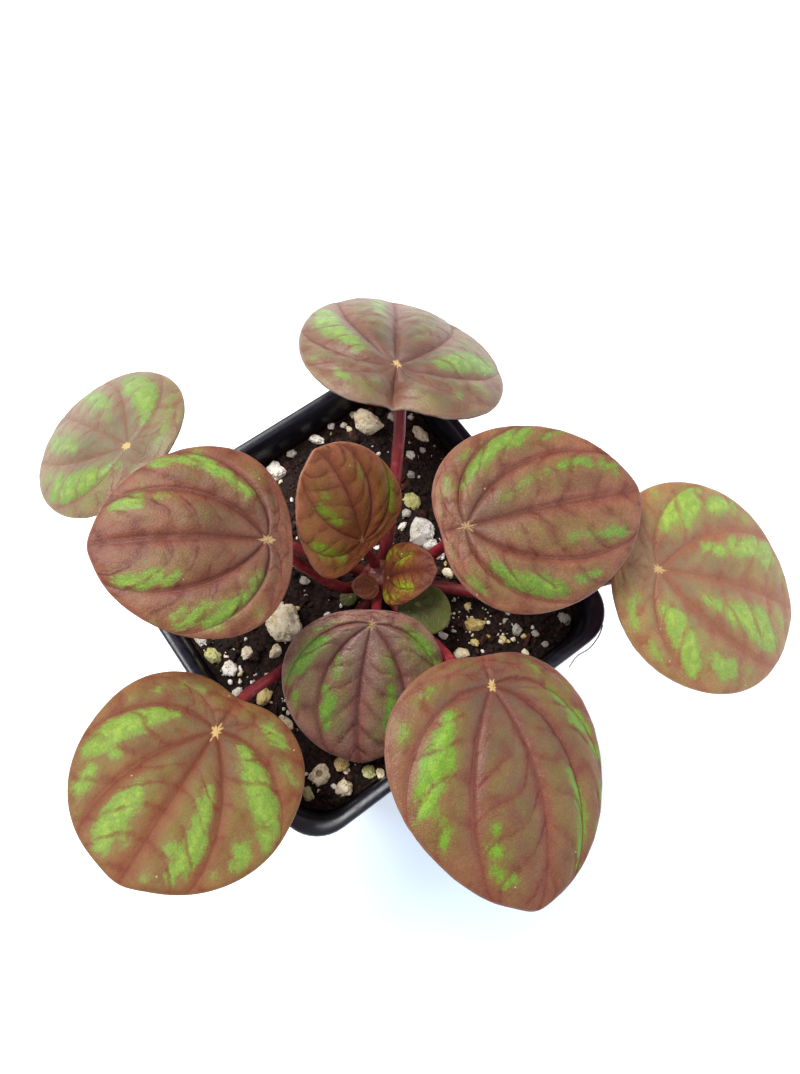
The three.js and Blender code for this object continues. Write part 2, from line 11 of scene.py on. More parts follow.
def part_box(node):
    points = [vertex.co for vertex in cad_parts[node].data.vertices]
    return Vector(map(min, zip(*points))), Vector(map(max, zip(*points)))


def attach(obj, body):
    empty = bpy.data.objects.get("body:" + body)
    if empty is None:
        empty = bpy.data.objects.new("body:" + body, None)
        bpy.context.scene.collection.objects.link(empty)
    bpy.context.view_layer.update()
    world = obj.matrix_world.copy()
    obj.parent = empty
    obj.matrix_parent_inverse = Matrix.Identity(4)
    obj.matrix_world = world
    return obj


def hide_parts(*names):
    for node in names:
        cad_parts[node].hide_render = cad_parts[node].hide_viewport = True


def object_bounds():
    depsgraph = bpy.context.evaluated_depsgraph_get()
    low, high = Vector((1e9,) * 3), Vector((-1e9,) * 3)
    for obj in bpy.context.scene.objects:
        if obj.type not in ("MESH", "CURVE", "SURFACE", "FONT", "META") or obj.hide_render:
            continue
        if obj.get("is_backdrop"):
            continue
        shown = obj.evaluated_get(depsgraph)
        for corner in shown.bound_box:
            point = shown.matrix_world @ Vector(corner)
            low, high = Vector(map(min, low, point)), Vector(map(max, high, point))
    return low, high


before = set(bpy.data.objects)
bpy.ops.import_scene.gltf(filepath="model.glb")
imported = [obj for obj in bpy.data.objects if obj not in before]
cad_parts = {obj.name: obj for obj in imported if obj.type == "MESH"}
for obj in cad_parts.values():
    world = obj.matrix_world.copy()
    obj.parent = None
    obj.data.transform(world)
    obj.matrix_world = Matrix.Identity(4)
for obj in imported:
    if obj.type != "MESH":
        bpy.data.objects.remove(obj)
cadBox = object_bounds()
print("frame loaded,", len(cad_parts), "solids")

metre = 0.001  # one millimetre
scene = bpy.context.scene

# the photograph's camera, worked out from the pot's rim
camera = {
    "place": (-31.84, -50.65, 281.69),
    "right": (0.8084, -0.5878, 0.0310),
    "up": (0.5461, 0.7686, 0.3333),
    "lens": 29.03,
}

photoLens = bpy.data.cameras.new("photoCamera")
photoLens.sensor_width = 36
photoLens.lens = camera["lens"]
photoLens.clip_start = 0.01
photoLens.clip_end = 20
viewer = bpy.data.objects.new("photoCamera", photoLens)
scene.collection.objects.link(viewer)
rightAxis = Vector(camera["right"]).normalized()
upAxis = Vector(camera["up"])
upAxis = (upAxis - rightAxis * upAxis.dot(rightAxis)).normalized()
turned = Matrix((rightAxis, upAxis, rightAxis.cross(upAxis))).transposed().to_4x4()
viewer.matrix_world = Matrix.Translation(Vector(camera["place"]) * metre) @ turned
scene.camera = viewer
scene.view_settings.view_transform = "Standard"


# Small helpers for node trees

def tone(red, green, blue):
    # a colour given in screen values, 0 to 255
    def linear(value):
        share = value / 255
        return share / 12.92 if share < 0.04045 else ((share + 0.055) / 1.055) ** 2.4
    return (linear(red), linear(green), linear(blue), 1)


def toned(values):
    # the same dictionary, with each screen colour made into a tone
    return {label: tone(*value) if isinstance(value, tuple) else value for label, value in values.items()}


def place(tree, kind, **settings):
    node = tree.nodes.new(kind)
    row, column = divmod(len(tree.nodes), 12)
    node.location = (column * 190, row * -260)
    for name, value in settings.items():
        setattr(node, name, value)
    return node


def plug(tree, socket, value):
    # a value is a wire, or a plain number, vector or colour
    if isinstance(value, Wire):
        tree.links.new(value.socket, socket)
    else:
        socket.default_value = value


def feed(tree, kind, sockets, output=0, **settings):
    # a node with these values in its sockets, and the wire from one of its outputs
    node = place(tree, kind, **settings)
    for label, value in sockets.items():
        plug(tree, node.inputs[label], value)
    return Wire(tree, node.outputs[output])


class Wire:
    # an output in a node tree, with the arithmetic and the textures that the skins are written in
    def __init__(self, tree, socket):
        self.tree = tree
        self.socket = socket

    def calc(self, operation, *others):
        return feed(self.tree, "ShaderNodeMath", dict(enumerate((self, *others))), operation=operation)

    def __add__(self, other):
        return self.calc("ADD", other)

    def __sub__(self, other):
        return self.calc("SUBTRACT", other)

    def __rsub__(self, other):
        return feed(self.tree, "ShaderNodeMath", {0: other, 1: self}, operation="SUBTRACT")

    def __mul__(self, other):
        return self.calc("MULTIPLY", other)

    def __truediv__(self, other):
        return self.calc("DIVIDE", other)

    def fade(self, low, high, bottom=0.0, top=1.0):
        # soft step from bottom to top as the value goes from low to high
        sockets = {"Value": self, "From Min": low, "From Max": high, "To Min": bottom, "To Max": top}
        return feed(self.tree, "ShaderNodeMapRange", sockets, interpolation_type="SMOOTHSTEP")

    def toward(self, paint, share, kind="MIX"):
        # this colour, mixed with the paint by the share
        sockets = {"Factor": share, 6: self, 7: paint}
        return feed(self.tree, "ShaderNodeMix", sockets, 2, data_type="RGBA", blend_type=kind)

    def cloud(self, scale, detail=2.0, rough=0.5, twist=0.0):
        sockets = {"Vector": self, "Scale": scale, "Detail": detail, "Roughness": rough, "Distortion": twist}
        return feed(self.tree, "ShaderNodeTexNoise", sockets)

    def cells(self, scale, feature="F1"):
        # how far each place is from the middle, or the edge, of its cell
        return feed(self.tree, "ShaderNodeTexVoronoi", {"Vector": self, "Scale": scale}, feature=feature)

    def chances(self):
        # three random values for each cell of these cells
        return Wire(self.tree, self.socket.node.outputs["Color"]).split()

    def split(self):
        kind = "ShaderNodeSeparateColor" if self.socket.type == "RGBA" else "ShaderNodeSeparateXYZ"
        node = place(self.tree, kind)
        plug(self.tree, node.inputs[0], self)
        return [Wire(self.tree, socket) for socket in node.outputs]

    def shift(self, vector):
        return feed(self.tree, "ShaderNodeVectorMath", {0: self, 1: vector}, operation="ADD")

    def apart(self, point):
        return feed(self.tree, "ShaderNodeVectorMath", {0: self, 1: point}, "Value", operation="DISTANCE")

    def stretched(self, rotation, scale):
        return feed(self.tree, "ShaderNodeMapping", {"Vector": self, "Rotation": rotation, "Scale": scale})


def millimetres(tree, seed=None):
    # the piece's own coordinates in millimetres, shifted by the seed
    here = feed(tree, "ShaderNodeTexCoord", {}, "Object")
    spot = feed(tree, "ShaderNodeVectorMath", {0: here, "Scale": 1000}, operation="SCALE")
    return spot.shift(seed) if seed else spot


def reading(tree, name):
    return feed(tree, "ShaderNodeAttribute", {}, "Fac", attribute_name=name)


def sidePhase(phase):
    # 0 on a side vein and 0.5 halfway between two
    return ((phase + 0.5).calc("FRACT") - 0.5).calc("ABSOLUTE")


def newGroup(name, results=None, **inputs):
    # the inputs are labels listed by kind; a skin's results are its colour, roughness and height
    group = bpy.data.node_groups.new(name, "ShaderNodeTree")
    for kind, labels in inputs.items():
        for label in labels:
            group.interface.new_socket(name=label, in_out="INPUT", socket_type="NodeSocket" + kind)
    for label, kind in (results or {"Color": "Color", "Roughness": "Float", "Height": "Float"}).items():
        group.interface.new_socket(name=label, in_out="OUTPUT", socket_type="NodeSocket" + kind)
    entry = group.nodes.new("NodeGroupInput")
    return group, {socket.name: Wire(group, socket) for socket in entry.outputs}


def closeGroup(group, **results):
    leave = group.nodes.new("NodeGroupOutput")
    for label, value in results.items():
        plug(group, leave.inputs[label], value)
    return group


def newSkin(name, group, values, shader, bump):
    # a material of one Principled shader fed by a group with Color, Roughness and Height
    skin = bpy.data.materials.new(name)
    skin.use_nodes = True
    tree = skin.node_tree
    surface = tree.nodes["Principled BSDF"]
    node = place(tree, "ShaderNodeGroup", node_tree=group)
    for label, value in values.items():
        node.inputs[label].default_value = value
    for label, value in shader.items():
        surface.inputs[label].default_value = value
    height = Wire(tree, node.outputs["Height"])
    relief = feed(tree, "ShaderNodeBump", {"Strength": bump, "Distance": metre, "Height": height})
    plug(tree, surface.inputs["Base Color"], Wire(tree, node.outputs["Color"]))
    plug(tree, surface.inputs["Roughness"], Wire(tree, node.outputs["Roughness"]))
    plug(tree, surface.inputs["Normal"], relief)
    return skin


# Small helpers for pieces

def newObject(name, bm):
    mesh = bpy.data.meshes.new(name)
    bm.to_mesh(mesh)
    bm.free()
    made = bpy.data.objects.new(name, mesh)
    scene.collection.objects.link(made)
    return made


def finishPiece(name, bm, skins, slot, *nodes):
    bmesh.ops.scale(bm, vec=(metre, metre, metre), verts=bm.verts)
    piece = newObject(name, bm)
    for skin in skins:
        piece.data.materials.append(skin)
    piece.data.shade_smooth()
    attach(piece, "root")
    if nodes:
        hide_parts(*nodes)
    return piece


def only(kind, geometry):
    return [g for g in geometry if isinstance(g, kind)]


def smoothRoute(points, samples=60):
    # an even list of points along a centripetal curve through the given ones
    ends = [points[0] * 2 - points[1], *points, points[-1] * 2 - points[-2]]
    dense = []
    for i in range(1, len(ends) - 2):
        a, b, c, d = ends[i - 1:i + 3]
        gaps = [max((q - p).length ** 0.5, 0.01) for p, q in ((a, b), (b, c), (c, d))]
        first = (b - a) / gaps[0] - (c - a) / (gaps[0] + gaps[1]) + (c - b) / gaps[1]
        last = (c - b) / gaps[1] - (d - b) / (gaps[1] + gaps[2]) + (d - c) / gaps[2]
        first, last = first * gaps[1], last * gaps[1]
        for step in range(40):
            t = step / 40
            bend = (b - c) * 2 + first + last
            sag = (c - b) * 3 - first * 2 - last
            dense.append(b + first * t + sag * t * t + bend * t ** 3)
    dense.append(ends[-2])
    runs = [0]
    for p, q in zip(dense, dense[1:]):
        runs.append(runs[-1] + (q - p).length)
    wanted = np.linspace(0, runs[-1], samples)
    table = np.array(dense)
    return [Vector([np.interp(w, runs, table[:, k]) for k in range(3)]) for w in wanted]


def carriedFrames(route):
    # directions across a route, carried along it without twisting
    frames = []
    ahead = (route[1] - route[0]).normalized()
    side = ahead.orthogonal().normalized()
    for i in range(len(route)):
        after = (route[min(i + 1, len(route) - 1)] - route[max(i - 1, 0)]).normalized()
        side = (side - after * side.dot(after)).normalized()
        frames.append((side, after.cross(side), after))
    return frames


def joinedVerts(start):
    # every vertex that hangs together with the given one
    found, waiting = {start}, [start]
    while waiting:
        for edge in waiting.pop().link_edges:
            for v in edge.verts:
                if v not in found:
                    found.add(v)
                    waiting.append(v)
    return found


def addStem(bm, route, thickness, sides, wobble=0.0, seed=0.0):
    # a closed tube along a route, thickness is a function of the share of its length
    stations = len(route) - 1
    made = bmesh.ops.create_cone(bm, cap_ends=True, segments=sides, radius1=1, radius2=1, depth=1)
    sideEdges = {e for v in made["verts"] for e in v.link_edges}
    rises = [e for e in sideEdges if abs(e.verts[0].co.z - e.verts[1].co.z) > 0.5]
    cut = bmesh.ops.subdivide_edges(bm, edges=rises, cuts=stations - 1, use_grid_fill=True)
    verts = joinedVerts(only(BMVert, cut["geom_inner"])[0])
    frames = carriedFrames(route)
    shareLayer = bm.verts.layers.float.get("share")
    turnLayer = bm.verts.layers.float.get("turn")
    for v in verts:
        share = min(max(v.co.z + 0.5, 0), 1)
        step = round(share * stations)
        side, other, _ = frames[step]
        around = math.atan2(v.co.y, v.co.x)
        radius = thickness(share) / 2
        uneven = math.sin(3 * around + seed + 9 * share) * math.sin(0.88 * share * stations + seed)
        radius *= 1 + wobble * uneven
        v.co = route[step] + (side * math.cos(around) + other * math.sin(around)) * radius
        if shareLayer:
            v[shareLayer] = share
            v[turnLayer] = math.cos(around)
    return verts


# Leaves: the same numbers as the solids

openVeins = {"atStar": [0, 47, 112, 152, 180], "atEdge": [0, 22, 60, 97, 180]}
domedVeins = {"atStar": [0, 56, 108, 152, 180], "atEdge": [0, 13, 46, 86, 180]}

blades = {
    "usual": 45,  # the length that these numbers are meant for
    "fullThick": 20,  # a shorter blade is thinner
    "tip": 0.8,  # how far the tip is drawn out
    "tipWide": 11,  # degrees, seen from the middle
    "notchWide": 14,
    "curl": 0.75,  # how the veins close in on the tip
    "thick": 0.8,
    "rimThick": 0.5,
    "furrow": 0.28,  # depth of the side veins
    "groove": 0.3,  # extra depth along the main veins
    "ribs": 0.4,  # how far the main veins stand out below
    "pucker": 0.16,  # small unevenness between the veins
    "merge": 0.6,  # how far the two pillows beside the back crease run together
    "pillow": 0.7,  # the lower, the fuller the pillows
    "laneRoom": 11,  # a lane this wide swells in full
    "longBack": 12,  # a blade with this much behind its star swells there in full
    "ripple": 0.004,  # unevenness of the outline, as a share of its reach
    "rimDrop": 0.22,
    "rimBulge": 0.12,
}

leaves = {
    "leaf_1": {
        "star": (31.5, 28.5, 112), "heading": 52, "pitch": 25, "roll": 10,
        "length": 56.4, "width": 49, "egg": 0.07, "back": 15.4, "droop": (9, 1.9, 4.3), "lean": -0.09,
        "sway": 0, "lobe": 0.04, "notch": 0.2, "quilt": 1.9, "furrowed": 0.45, "veins": openVeins,
        "fold": 2.2,  # depth of the fold along its midrib
        "foot": (55, 82), "via": [(10, 2, 88), (27.5, 21.5, 104)], "girth": (3.2, 2.7),
    },
    "leaf_2": {
        "star": (19, -12.5, 117), "heading": -21, "pitch": 0, "roll": 5,
        "length": 45.1, "width": 40.5, "egg": 0.12, "back": 6.5, "droop": (5, 0.3, 2.9), "lean": -0.01,
        "sway": 0, "lobe": 0.02, "notch": 0.18, "quilt": 1.5, "furrowed": 0.9, "veins": domedVeins,
        "foot": (-8, 83), "via": [(15.5, -7, 90), (18.5, -8.8, 98)], "girth": (3.1, 2.4),
    },
    "leaf_3": {
        "star": (52.5, -41.5, 101), "heading": -41, "pitch": 14, "roll": 2,
        "length": 54, "width": 49, "egg": 0.03, "back": 11.5, "droop": (11, 0.8, 3.2), "lean": -0.01,
        "sway": 3, "lobe": 0.02, "notch": 0.03, "quilt": 0.9, "furrowed": 0.8, "veins": openVeins,
        "foot": (-40, 80), "girth": (3.2, 2.5),
        "via": [(19, -16.5, 81.5), (31, -30.5, 86), (44, -35.5, 92)],
    },
    "leaf_4": {
        "star": (5.5, -40.5, 106), "heading": -111, "pitch": -8, "roll": -20,
        "length": 49.1, "width": 47.5, "egg": 0.16, "back": 8.1, "droop": (9.6, 0.3, 3.9), "lean": -0.03,
        "sway": 22, "lobe": 0.02, "notch": 0.16, "quilt": 1.2, "furrowed": 1, "veins": domedVeins,
        "foot": (-100, 80.2), "via": [(4, -15, 82.4), (5, -27, 88)], "girth": (3.2, 2.5),
    },
    "leaf_5": {
        "star": (-6, -14.5, 99), "heading": -128, "pitch": 18, "roll": -10,
        "length": 34.2, "width": 35.5, "egg": 0.13, "back": 3.6, "droop": (6.5, 0.2, 2.7), "lean": -0.04,
        "sway": -12, "lobe": 0.01, "notch": 0.12, "quilt": 1.4, "furrowed": 1.35, "veins": domedVeins,
        "foot": (-145, 82.6), "via": [(-2, -10.5, 88)], "girth": (2.9, 2.1),
    },
    "leaf_6": {
        "star": (-45, -14.5, 101), "heading": -154, "pitch": -12, "roll": 1,
        "length": 42, "width": 46, "egg": 0.02, "back": 9.9, "droop": (0.4, 0.5, 2.7), "lean": -0.03,
        "sway": 0, "lobe": 0.08, "notch": 0.16, "quilt": 1, "furrowed": 0.5, "veins": openVeins,
        "foot": (-168, 79.8), "girth": (3, 2.4),
        "via": [(-2.8, -6.2, 81.2), (-9, -7.8, 83), (-27, -9.5, 90), (-37, -10.7, 95)],
    },
    "leaf_7": {
        "star": (-15.5, 8.5, 117), "heading": 150, "pitch": -20, "roll": -3,
        "length": 38.5, "width": 39.5, "egg": 0.14, "back": 5.6, "droop": (7, 0.2, 1.8), "lean": -0.03,
        "sway": -3, "lobe": 0.03, "notch": 0.04, "quilt": 1.3, "furrowed": 0.4, "veins": domedVeins,
        "foot": (150, 83.6), "via": [(-3.5, -1.5, 86), (-12, 6.3, 103)], "girth": (3, 2.3),
    },
    "leaf_8": {
        "star": (-27.5, 54, 97), "heading": 108, "pitch": 23, "roll": -6,
        "length": 46.5, "width": 42, "egg": 0.06, "back": 11.5, "droop": (7.5, 1.1, 3.2), "lean": 0.02,
        "sway": 0, "lobe": 0.01, "notch": 0.03, "quilt": 0.8, "furrowed": 0.5, "veins": openVeins,
        "foot": (120, 80.6), "via": [(-8.5, 13, 89.5)], "girth": (2.9, 2.2),
    },
    "leaf_9": {
        "star": (3.5, 2.5, 99), "heading": 94, "pitch": -45, "roll": 14,
        "length": 28.5, "width": 27.5, "egg": 0.19, "back": 3.7, "droop": (-2.6, 0.1, -1.1), "lean": -0.03,
        "sway": -20, "lobe": 0.11, "notch": 0.1, "quilt": 0.9, "furrowed": 1.2, "veins": domedVeins,
        "foot": (88, 84.8), "via": [], "girth": (2.2, 1.8),
    },
    "leaf_10": {
        "star": (4.5, -6, 91), "heading": -41, "pitch": -54, "roll": 2,
        "length": 15.2, "width": 14.5, "egg": 0.08, "back": 2.1, "droop": (3, 0.1, -0.9), "lean": 0.01,
        "sway": 6, "lobe": 0.05, "notch": 0.2, "quilt": 0.7, "furrowed": 1.3, "veins": domedVeins,
        "foot": (-80, 85), "via": [], "girth": (1.7, 1.3),
    },
    "leaf_11": {
        "star": (1.5, -5.5, 88.5), "heading": 152, "pitch": -30, "roll": 0,
        "length": 6.5, "width": 6, "egg": 0.07, "back": 0.8, "droop": (0.8, 0, 0.3), "lean": 0,
        "sway": 0, "lobe": 0.03, "notch": 0.1, "quilt": 0.2, "furrowed": 1, "veins": domedVeins,
        "foot": (-135, 84.8), "via": [], "girth": (1.1, 0.9),
    },
    "sprout_1": {
        "star": (6.6, -15, 90.2), "heading": -70, "pitch": 4, "roll": 6,
        "length": 12.2, "width": 11.6, "egg": 0.04, "back": 4.2, "droop": (0.6, 0.3, 0.5), "lean": 0,
        "sway": 0, "lobe": 0, "notch": 0, "quilt": 0.25, "furrowed": 0.5, "veins": openVeins,
        "foot": (9.5, -17), "depth": 3.5, "girth": (1.3, 1),
    },
    "sprout_2": {
        "star": (-3.6, -2.2, 80.6), "heading": 170, "pitch": 0, "roll": 0,
        "length": 4.2, "width": 4, "egg": 0, "back": 1.5, "droop": (0.2, 0.1, 0.1), "lean": 0,
        "sway": 0, "lobe": 0, "notch": 0, "quilt": 0, "furrowed": 0.5, "veins": openVeins,
        "foot": (-3.6, -2.2), "depth": 2.5, "girth": (0.9, 0.8),
    },
}

# Green splashes: strength, then strokes of (ahead of the star, left of it, half width).
splashes = {
    "leaf_1": [
        (1, [(2.2, -9.8, 1.4), (4.5, -13.6, 2.6), (6.8, -15.9, 3.1), (9.8, -20.5, 3.1),
            (12.9, -23.6, 2.3)]),
        (1, [(2.6, 9.4, 1.4), (6, 12.4, 2), (9.1, 14.8, 2.5), (12.9, 17.1, 2.8), (17.5, 17.1, 2.9),
            (21.3, 17.8, 1.8)]),
        (0.5, [(21.3, 4.4, 1.8), (27.5, 4.8, 2.1), (33.6, 4, 2)]),
        (0.5, [(-7, -14, 1.4)]),
        (0.6, [(-8.6, 10.9, 0.9), (-7, 12.8, 1.5)]),
        (0.4, [(-1.7, 18.6, 1.2)]),
        (0.3, [(-1.3, -20.5, 1.1)]),
        (0.3, [(29, 16.3, 1.2)]),
        (0.2, [(25.9, -15.2, 1.8), (30.6, -12.1, 1.8)]),
    ],
    "leaf_2": [
        (1, [(2.9, -9.3, 0.9), (6.7, -13.4, 1.6), (10.5, -14.6, 1.9), (13.6, -16.2, 1.9),
            (16.5, -17.6, 1)]),
        (0.9, [(20.2, -15.9, 1), (22.4, -15.9, 1.1), (24.6, -15.6, 0.6)]),
        (0.9, [(27.2, -8.3, 0.9), (29.4, -7.9, 1.3), (32.5, -8, 1.1)]),
        (0.4, [(19.3, -7.1, 1), (23.1, -7.1, 1.4), (26.8, -8, 1.6)]),
        (1, [(1.4, 8.4, 0.6), (5.1, 11.5, 1.3), (9.9, 15.3, 1.8), (14.9, 16.9, 1.8), (19, 17.9, 1.1)]),
        (1, [(15.2, 14.7, 0.8), (16.8, 16.5, 0.8)]),
        (0.6, [(21.8, 15.3, 1), (23.7, 16.2, 1.3), (25.6, 15.9, 0.9)]),
        (0.9, [(23.1, 8, 0.9), (26.8, 8.4, 1.3), (29.4, 8, 1.1)]),
        (0.85, [(32.8, 6.8, 1.4), (35, 6.5, 0.9)]),
        (0.35, [(8.6, 3.6, 0.9), (15.5, 6.5, 1.1), (19.9, 7.4, 1)]),
        (0.7, [(-0.2, -13.4, 0.6), (-2.1, -10.8, 0.9)]),
        (0.5, [(-2.4, 7.7, 0.9), (-1.2, 10.9, 0.9)]),
        (0.35, [(3.6, 14.7, 1), (5.4, 16.2, 0.8)]),
        (0.4, [(35, 4.6, 1.3)]),
    ],
    "leaf_3": [
        (1, [(1, -8.9, 1.2), (4, -10.8, 2.6), (7.4, -15.7, 3), (10, -20.2, 2.3)]),
        (1, [(15.3, -17.6, 1.8), (17.9, -18.7, 2.3), (18.7, -20.6, 1.5)]),
        (0.8, [(21, -17.6, 1.2), (22.1, -20.2, 1.4)]),
        (0.8, [(12.3, -4.7, 1.1), (15.7, -5.9, 1.5)]),
        (1, [(20.2, -6.6, 2.4), (23.2, -5.9, 2.7), (27.8, -8.1, 3.2), (32.3, -9.6, 3.2), (34.9, -10, 1.7)]),
        (0.8, [(28.5, -4, 1.5), (31.5, -5.9, 1.5)]),
        (0.8, [(11.9, 7.3, 1.1), (16.4, 7.7, 1.7)]),
        (1, [(21, 9.6, 2.1), (26.2, 10.7, 2.4), (30.8, 12.2, 2.4), (33.8, 12.6, 1.7)]),
        (0.7, [(32.3, 8.5, 2), (36, 11.1, 1.5)]),
        (1, [(1, 10.4, 1.5), (3.2, 13.8, 2.3), (6.6, 17.5, 2.4), (9.6, 20.5, 2), (11.9, 22.4, 0.9)]),
        (0.9, [(6.2, 12.2, 1.7), (9.3, 16, 1.8), (11.2, 19, 1.4)]),
        (1, [(14.9, 17.9, 1.7), (17.2, 19.8, 2.3), (20.2, 20.5, 1.7)]),
        (0.7, [(22.8, 18.3, 1.1), (22.5, 21.3, 1.2)]),
        (0.6, [(-5.1, -13.8, 1.4), (-6.4, -9.6, 1.2), (-5.6, -7, 1.1)]),
        (0.5, [(-1.7, -16.8, 1.1), (0.2, -18.7, 0.9), (2.1, -19.8, 1.1)]),
        (0.4, [(-0.9, 18.7, 1.1)]),
        (0.35, [(26.2, -18.3, 1.5)]),
        (0.35, [(26.6, 18.7, 1.8)]),
        (0.35, [(38.3, -5.1, 2), (36.8, -2.1, 1.7)]),
        (0.3, [(38.3, 7.7, 1.8), (39.8, 5.5, 1.5)]),
    ],
    "leaf_4": [
        (1, [(4.2, -10.8, 0.8), (8, -13.5, 1.8), (12.1, -16.3, 2.3), (16.2, -18, 2.6), (20, -19.7, 1.9),
            (21.6, -21.4, 0.7)]),
        (1, [(11.8, -12.8, 1.1), (14.9, -14.6, 1.1)]),
        (0.9, [(23.4, -16.6, 1.1), (25.5, -17.3, 1.5), (27.1, -17.7, 0.8)]),
        (0.7, [(26.9, -7, 1.2)]),
        (0.9, [(30, -8.1, 1.5), (31, -6.7, 1.1)]),
        (0.8, [(33.4, -8.4, 1.1), (35.4, -6.7, 1.2), (35.8, -5, 1)]),
        (0.75, [(19, 12.2, 1), (23.1, 13.2, 1.5), (26.5, 13.5, 1.4), (30.6, 12.9, 1.4), (34.1, 11.1, 1)]),
        (0.35, [(36.1, 10.5, 1.1)]),
        (0.8, [(2.2, 13.2, 0.8), (5.3, 15.9, 1.2), (8.7, 18.7, 1.5), (11.4, 20.8, 1.1)]),
        (0.75, [(9.4, 16.6, 1.4), (11.4, 19.4, 1.1)]),
        (0.65, [(14.9, 20.8, 1.1), (16.9, 22.1, 1.1)]),
        (0.45, [(22.4, 20.8, 0.8), (24.5, 20.1, 0.8)]),
        (0.5, [(-0.2, -15.6, 1.1), (-1.2, -13.2, 0.8)]),
        (0.4, [(4.9, -20.4, 1.2), (7.3, -21.4, 1)]),
        (0.4, [(-3.6, 10.5, 1), (-1.9, 12.5, 0.8)]),
        (0.3, [(2.5, 18.4, 0.8)]),
        (0.4, [(30.6, 17.3, 1.1)]),
    ],
    "leaf_5": [
        (1, [(3.1, -10, 0.7), (4.9, -12.4, 1.3), (7.8, -14.5, 1.5), (10.4, -16, 1.3), (12.8, -17.3, 0.6)]),
        (0.6, [(15.6, -15.5, 1.2), (17.7, -15.5, 0.7)]),
        (0.9, [(14.1, -9.5, 0.9), (16.2, -8.2, 1.2), (18.8, -9.2, 1.4), (21.4, -8.5, 1.3),
            (23, -8.5, 0.6)]),
        (0.35, [(7.3, -6.9, 1.3), (10.9, -7.7, 1.3)]),
        (0.85, [(13, 4.9, 0.8), (16.7, 5.4, 1.3), (19.8, 5.1, 1.4), (22.5, 4.6, 0.7)]),
        (0.3, [(6.8, 3.8, 1.2), (10.4, 4.9, 1.4)]),
        (1, [(1, 7.8, 0.5), (3.1, 10.6, 1.3), (5.2, 12.7, 1.4), (7.3, 14.3, 1.2), (9.4, 15.4, 0.5)]),
        (0.45, [(0.7, -9.8, 0.8), (1.5, -11.9, 0.6)]),
        (0.35, [(25.1, 2.3, 0.9)]),
    ],
    "leaf_6": [
        (1, [(1.1, -9, 0.8), (2.7, -12.3, 1.8), (5.7, -14.9, 2.6), (9, -17.5, 3), (12.2, -18.8, 2.7),
            (15.2, -20.4, 1.3)]),
        (0.95, [(13.2, -15.2, 1.4)]),
        (0.9, [(18.8, -17.2, 1.8), (21.4, -17.2, 1.7), (23, -16.8, 0.8)]),
        (1, [(16.8, -6.4, 1.3), (19.4, -6.7, 2.5), (22.7, -7.3, 2.6), (26, -7.7, 2.5), (28.9, -6.4, 1.4)]),
        (0.8, [(24.7, -4.4, 1.2), (26, -3.4, 0.9)]),
        (1, [(10.9, 5.4, 0.8), (14.2, 6.7, 1.4), (17.5, 8, 1.6), (20.7, 8.7, 2.2), (24, 8.7, 2.1),
            (27.3, 8, 1.3)]),
        (0.9, [(23.4, 5.7, 1.4)]),
        (1, [(0.1, 6.7, 0.7), (3.1, 10, 1.8), (5.7, 13.3, 2.6), (8.3, 16.5, 2.5), (11.6, 19.2, 2.1),
            (14.2, 20.5, 0.8)]),
        (0.9, [(17.5, 17.2, 2), (19.4, 17.5, 1.6)]),
        (0.4, [(23.4, 14.9, 0.8)]),
        (0.4, [(-5.1, -11.3, 0.9), (-6.1, -7, 0.9)]),
        (0.5, [(-2.2, -15.5, 1.2)]),
        (0.7, [(-5.4, 9, 1.6), (-4.1, 13.3, 1)]),
        (0.5, [(-0.5, 15.9, 1), (0.8, 19.2, 0.8)]),
        (0.3, [(2.7, -19.5, 0.8)]),
        (0.4, [(29.9, 4.1, 1.3)]),
        (0.3, [(26.6, -14.2, 1.3)]),
    ],
    "leaf_7": [
        (1, [(3.2, -9.3, 0.6), (6.4, -12.4, 0.9), (10.4, -15.3, 1.4), (13.8, -17.3, 1.6),
            (16.7, -17.3, 0.9)]),
        (0.8, [(19, -16.7, 0.8), (20.7, -16.7, 1), (22.4, -16.2, 0.6)]),
        (0.5, [(19, -9, 0.7), (20.7, -9.3, 0.8)]),
        (0.9, [(24.7, -9.3, 1.3), (26.4, -8.1, 1.6), (29, -7.3, 0.9), (24.7, -7, 0.7)]),
        (0.95, [(17.8, 7.3, 0.9), (19.6, 8.2, 1)]),
        (1, [(21.3, 7.1, 1.6), (23.6, 8.2, 1.5), (25.9, 7.9, 1.5), (27.9, 7.6, 1)]),
        (0.8, [(1.8, 7.6, 0.7), (3.2, 10.2, 0.8)]),
        (1, [(4.7, 11.6, 1), (7.5, 13.9, 1.6), (9.8, 15.7, 1.6), (12.1, 16.8, 0.9)]),
        (1, [(11.5, 13.4, 0.8), (13.8, 15.1, 1.4), (16.7, 16.8, 1)]),
        (0.8, [(16.4, 13.9, 0.8), (18.1, 15.7, 0.7)]),
        (0.5, [(21.9, 15.7, 0.8)]),
        (0.35, [(1.5, -14.2, 0.7)]),
        (0.3, [(1.8, 15.1, 0.8)]),
        (0.3, [(23.6, -12.4, 0.7)]),
    ],
    "leaf_8": [
        (0.95, [(0, -7.1, 0.9), (2.7, -10.4, 2.2), (6.6, -12.7, 3.2), (10.6, -14.4, 3.3),
            (14.6, -14.4, 3.2), (18.5, -15.3, 2)]),
        (0.75, [(15.9, -6.4, 1.6), (19.9, -6.4, 2.4), (24.5, -7.4, 2.2), (29.1, -7.1, 1.8)]),
        (0.55, [(15.2, 6.8, 1.6), (19.9, 6.8, 2.4), (24.5, 8.1, 2.5), (28.4, 6.8, 1.8)]),
        (1, [(-1.3, 4.8, 1.1), (0.7, 8.8, 1.8), (4.7, 12.1, 3.2), (8.6, 15.4, 3.4), (12.6, 17.4, 2.6),
            (14.6, 14.7, 1.3)]),
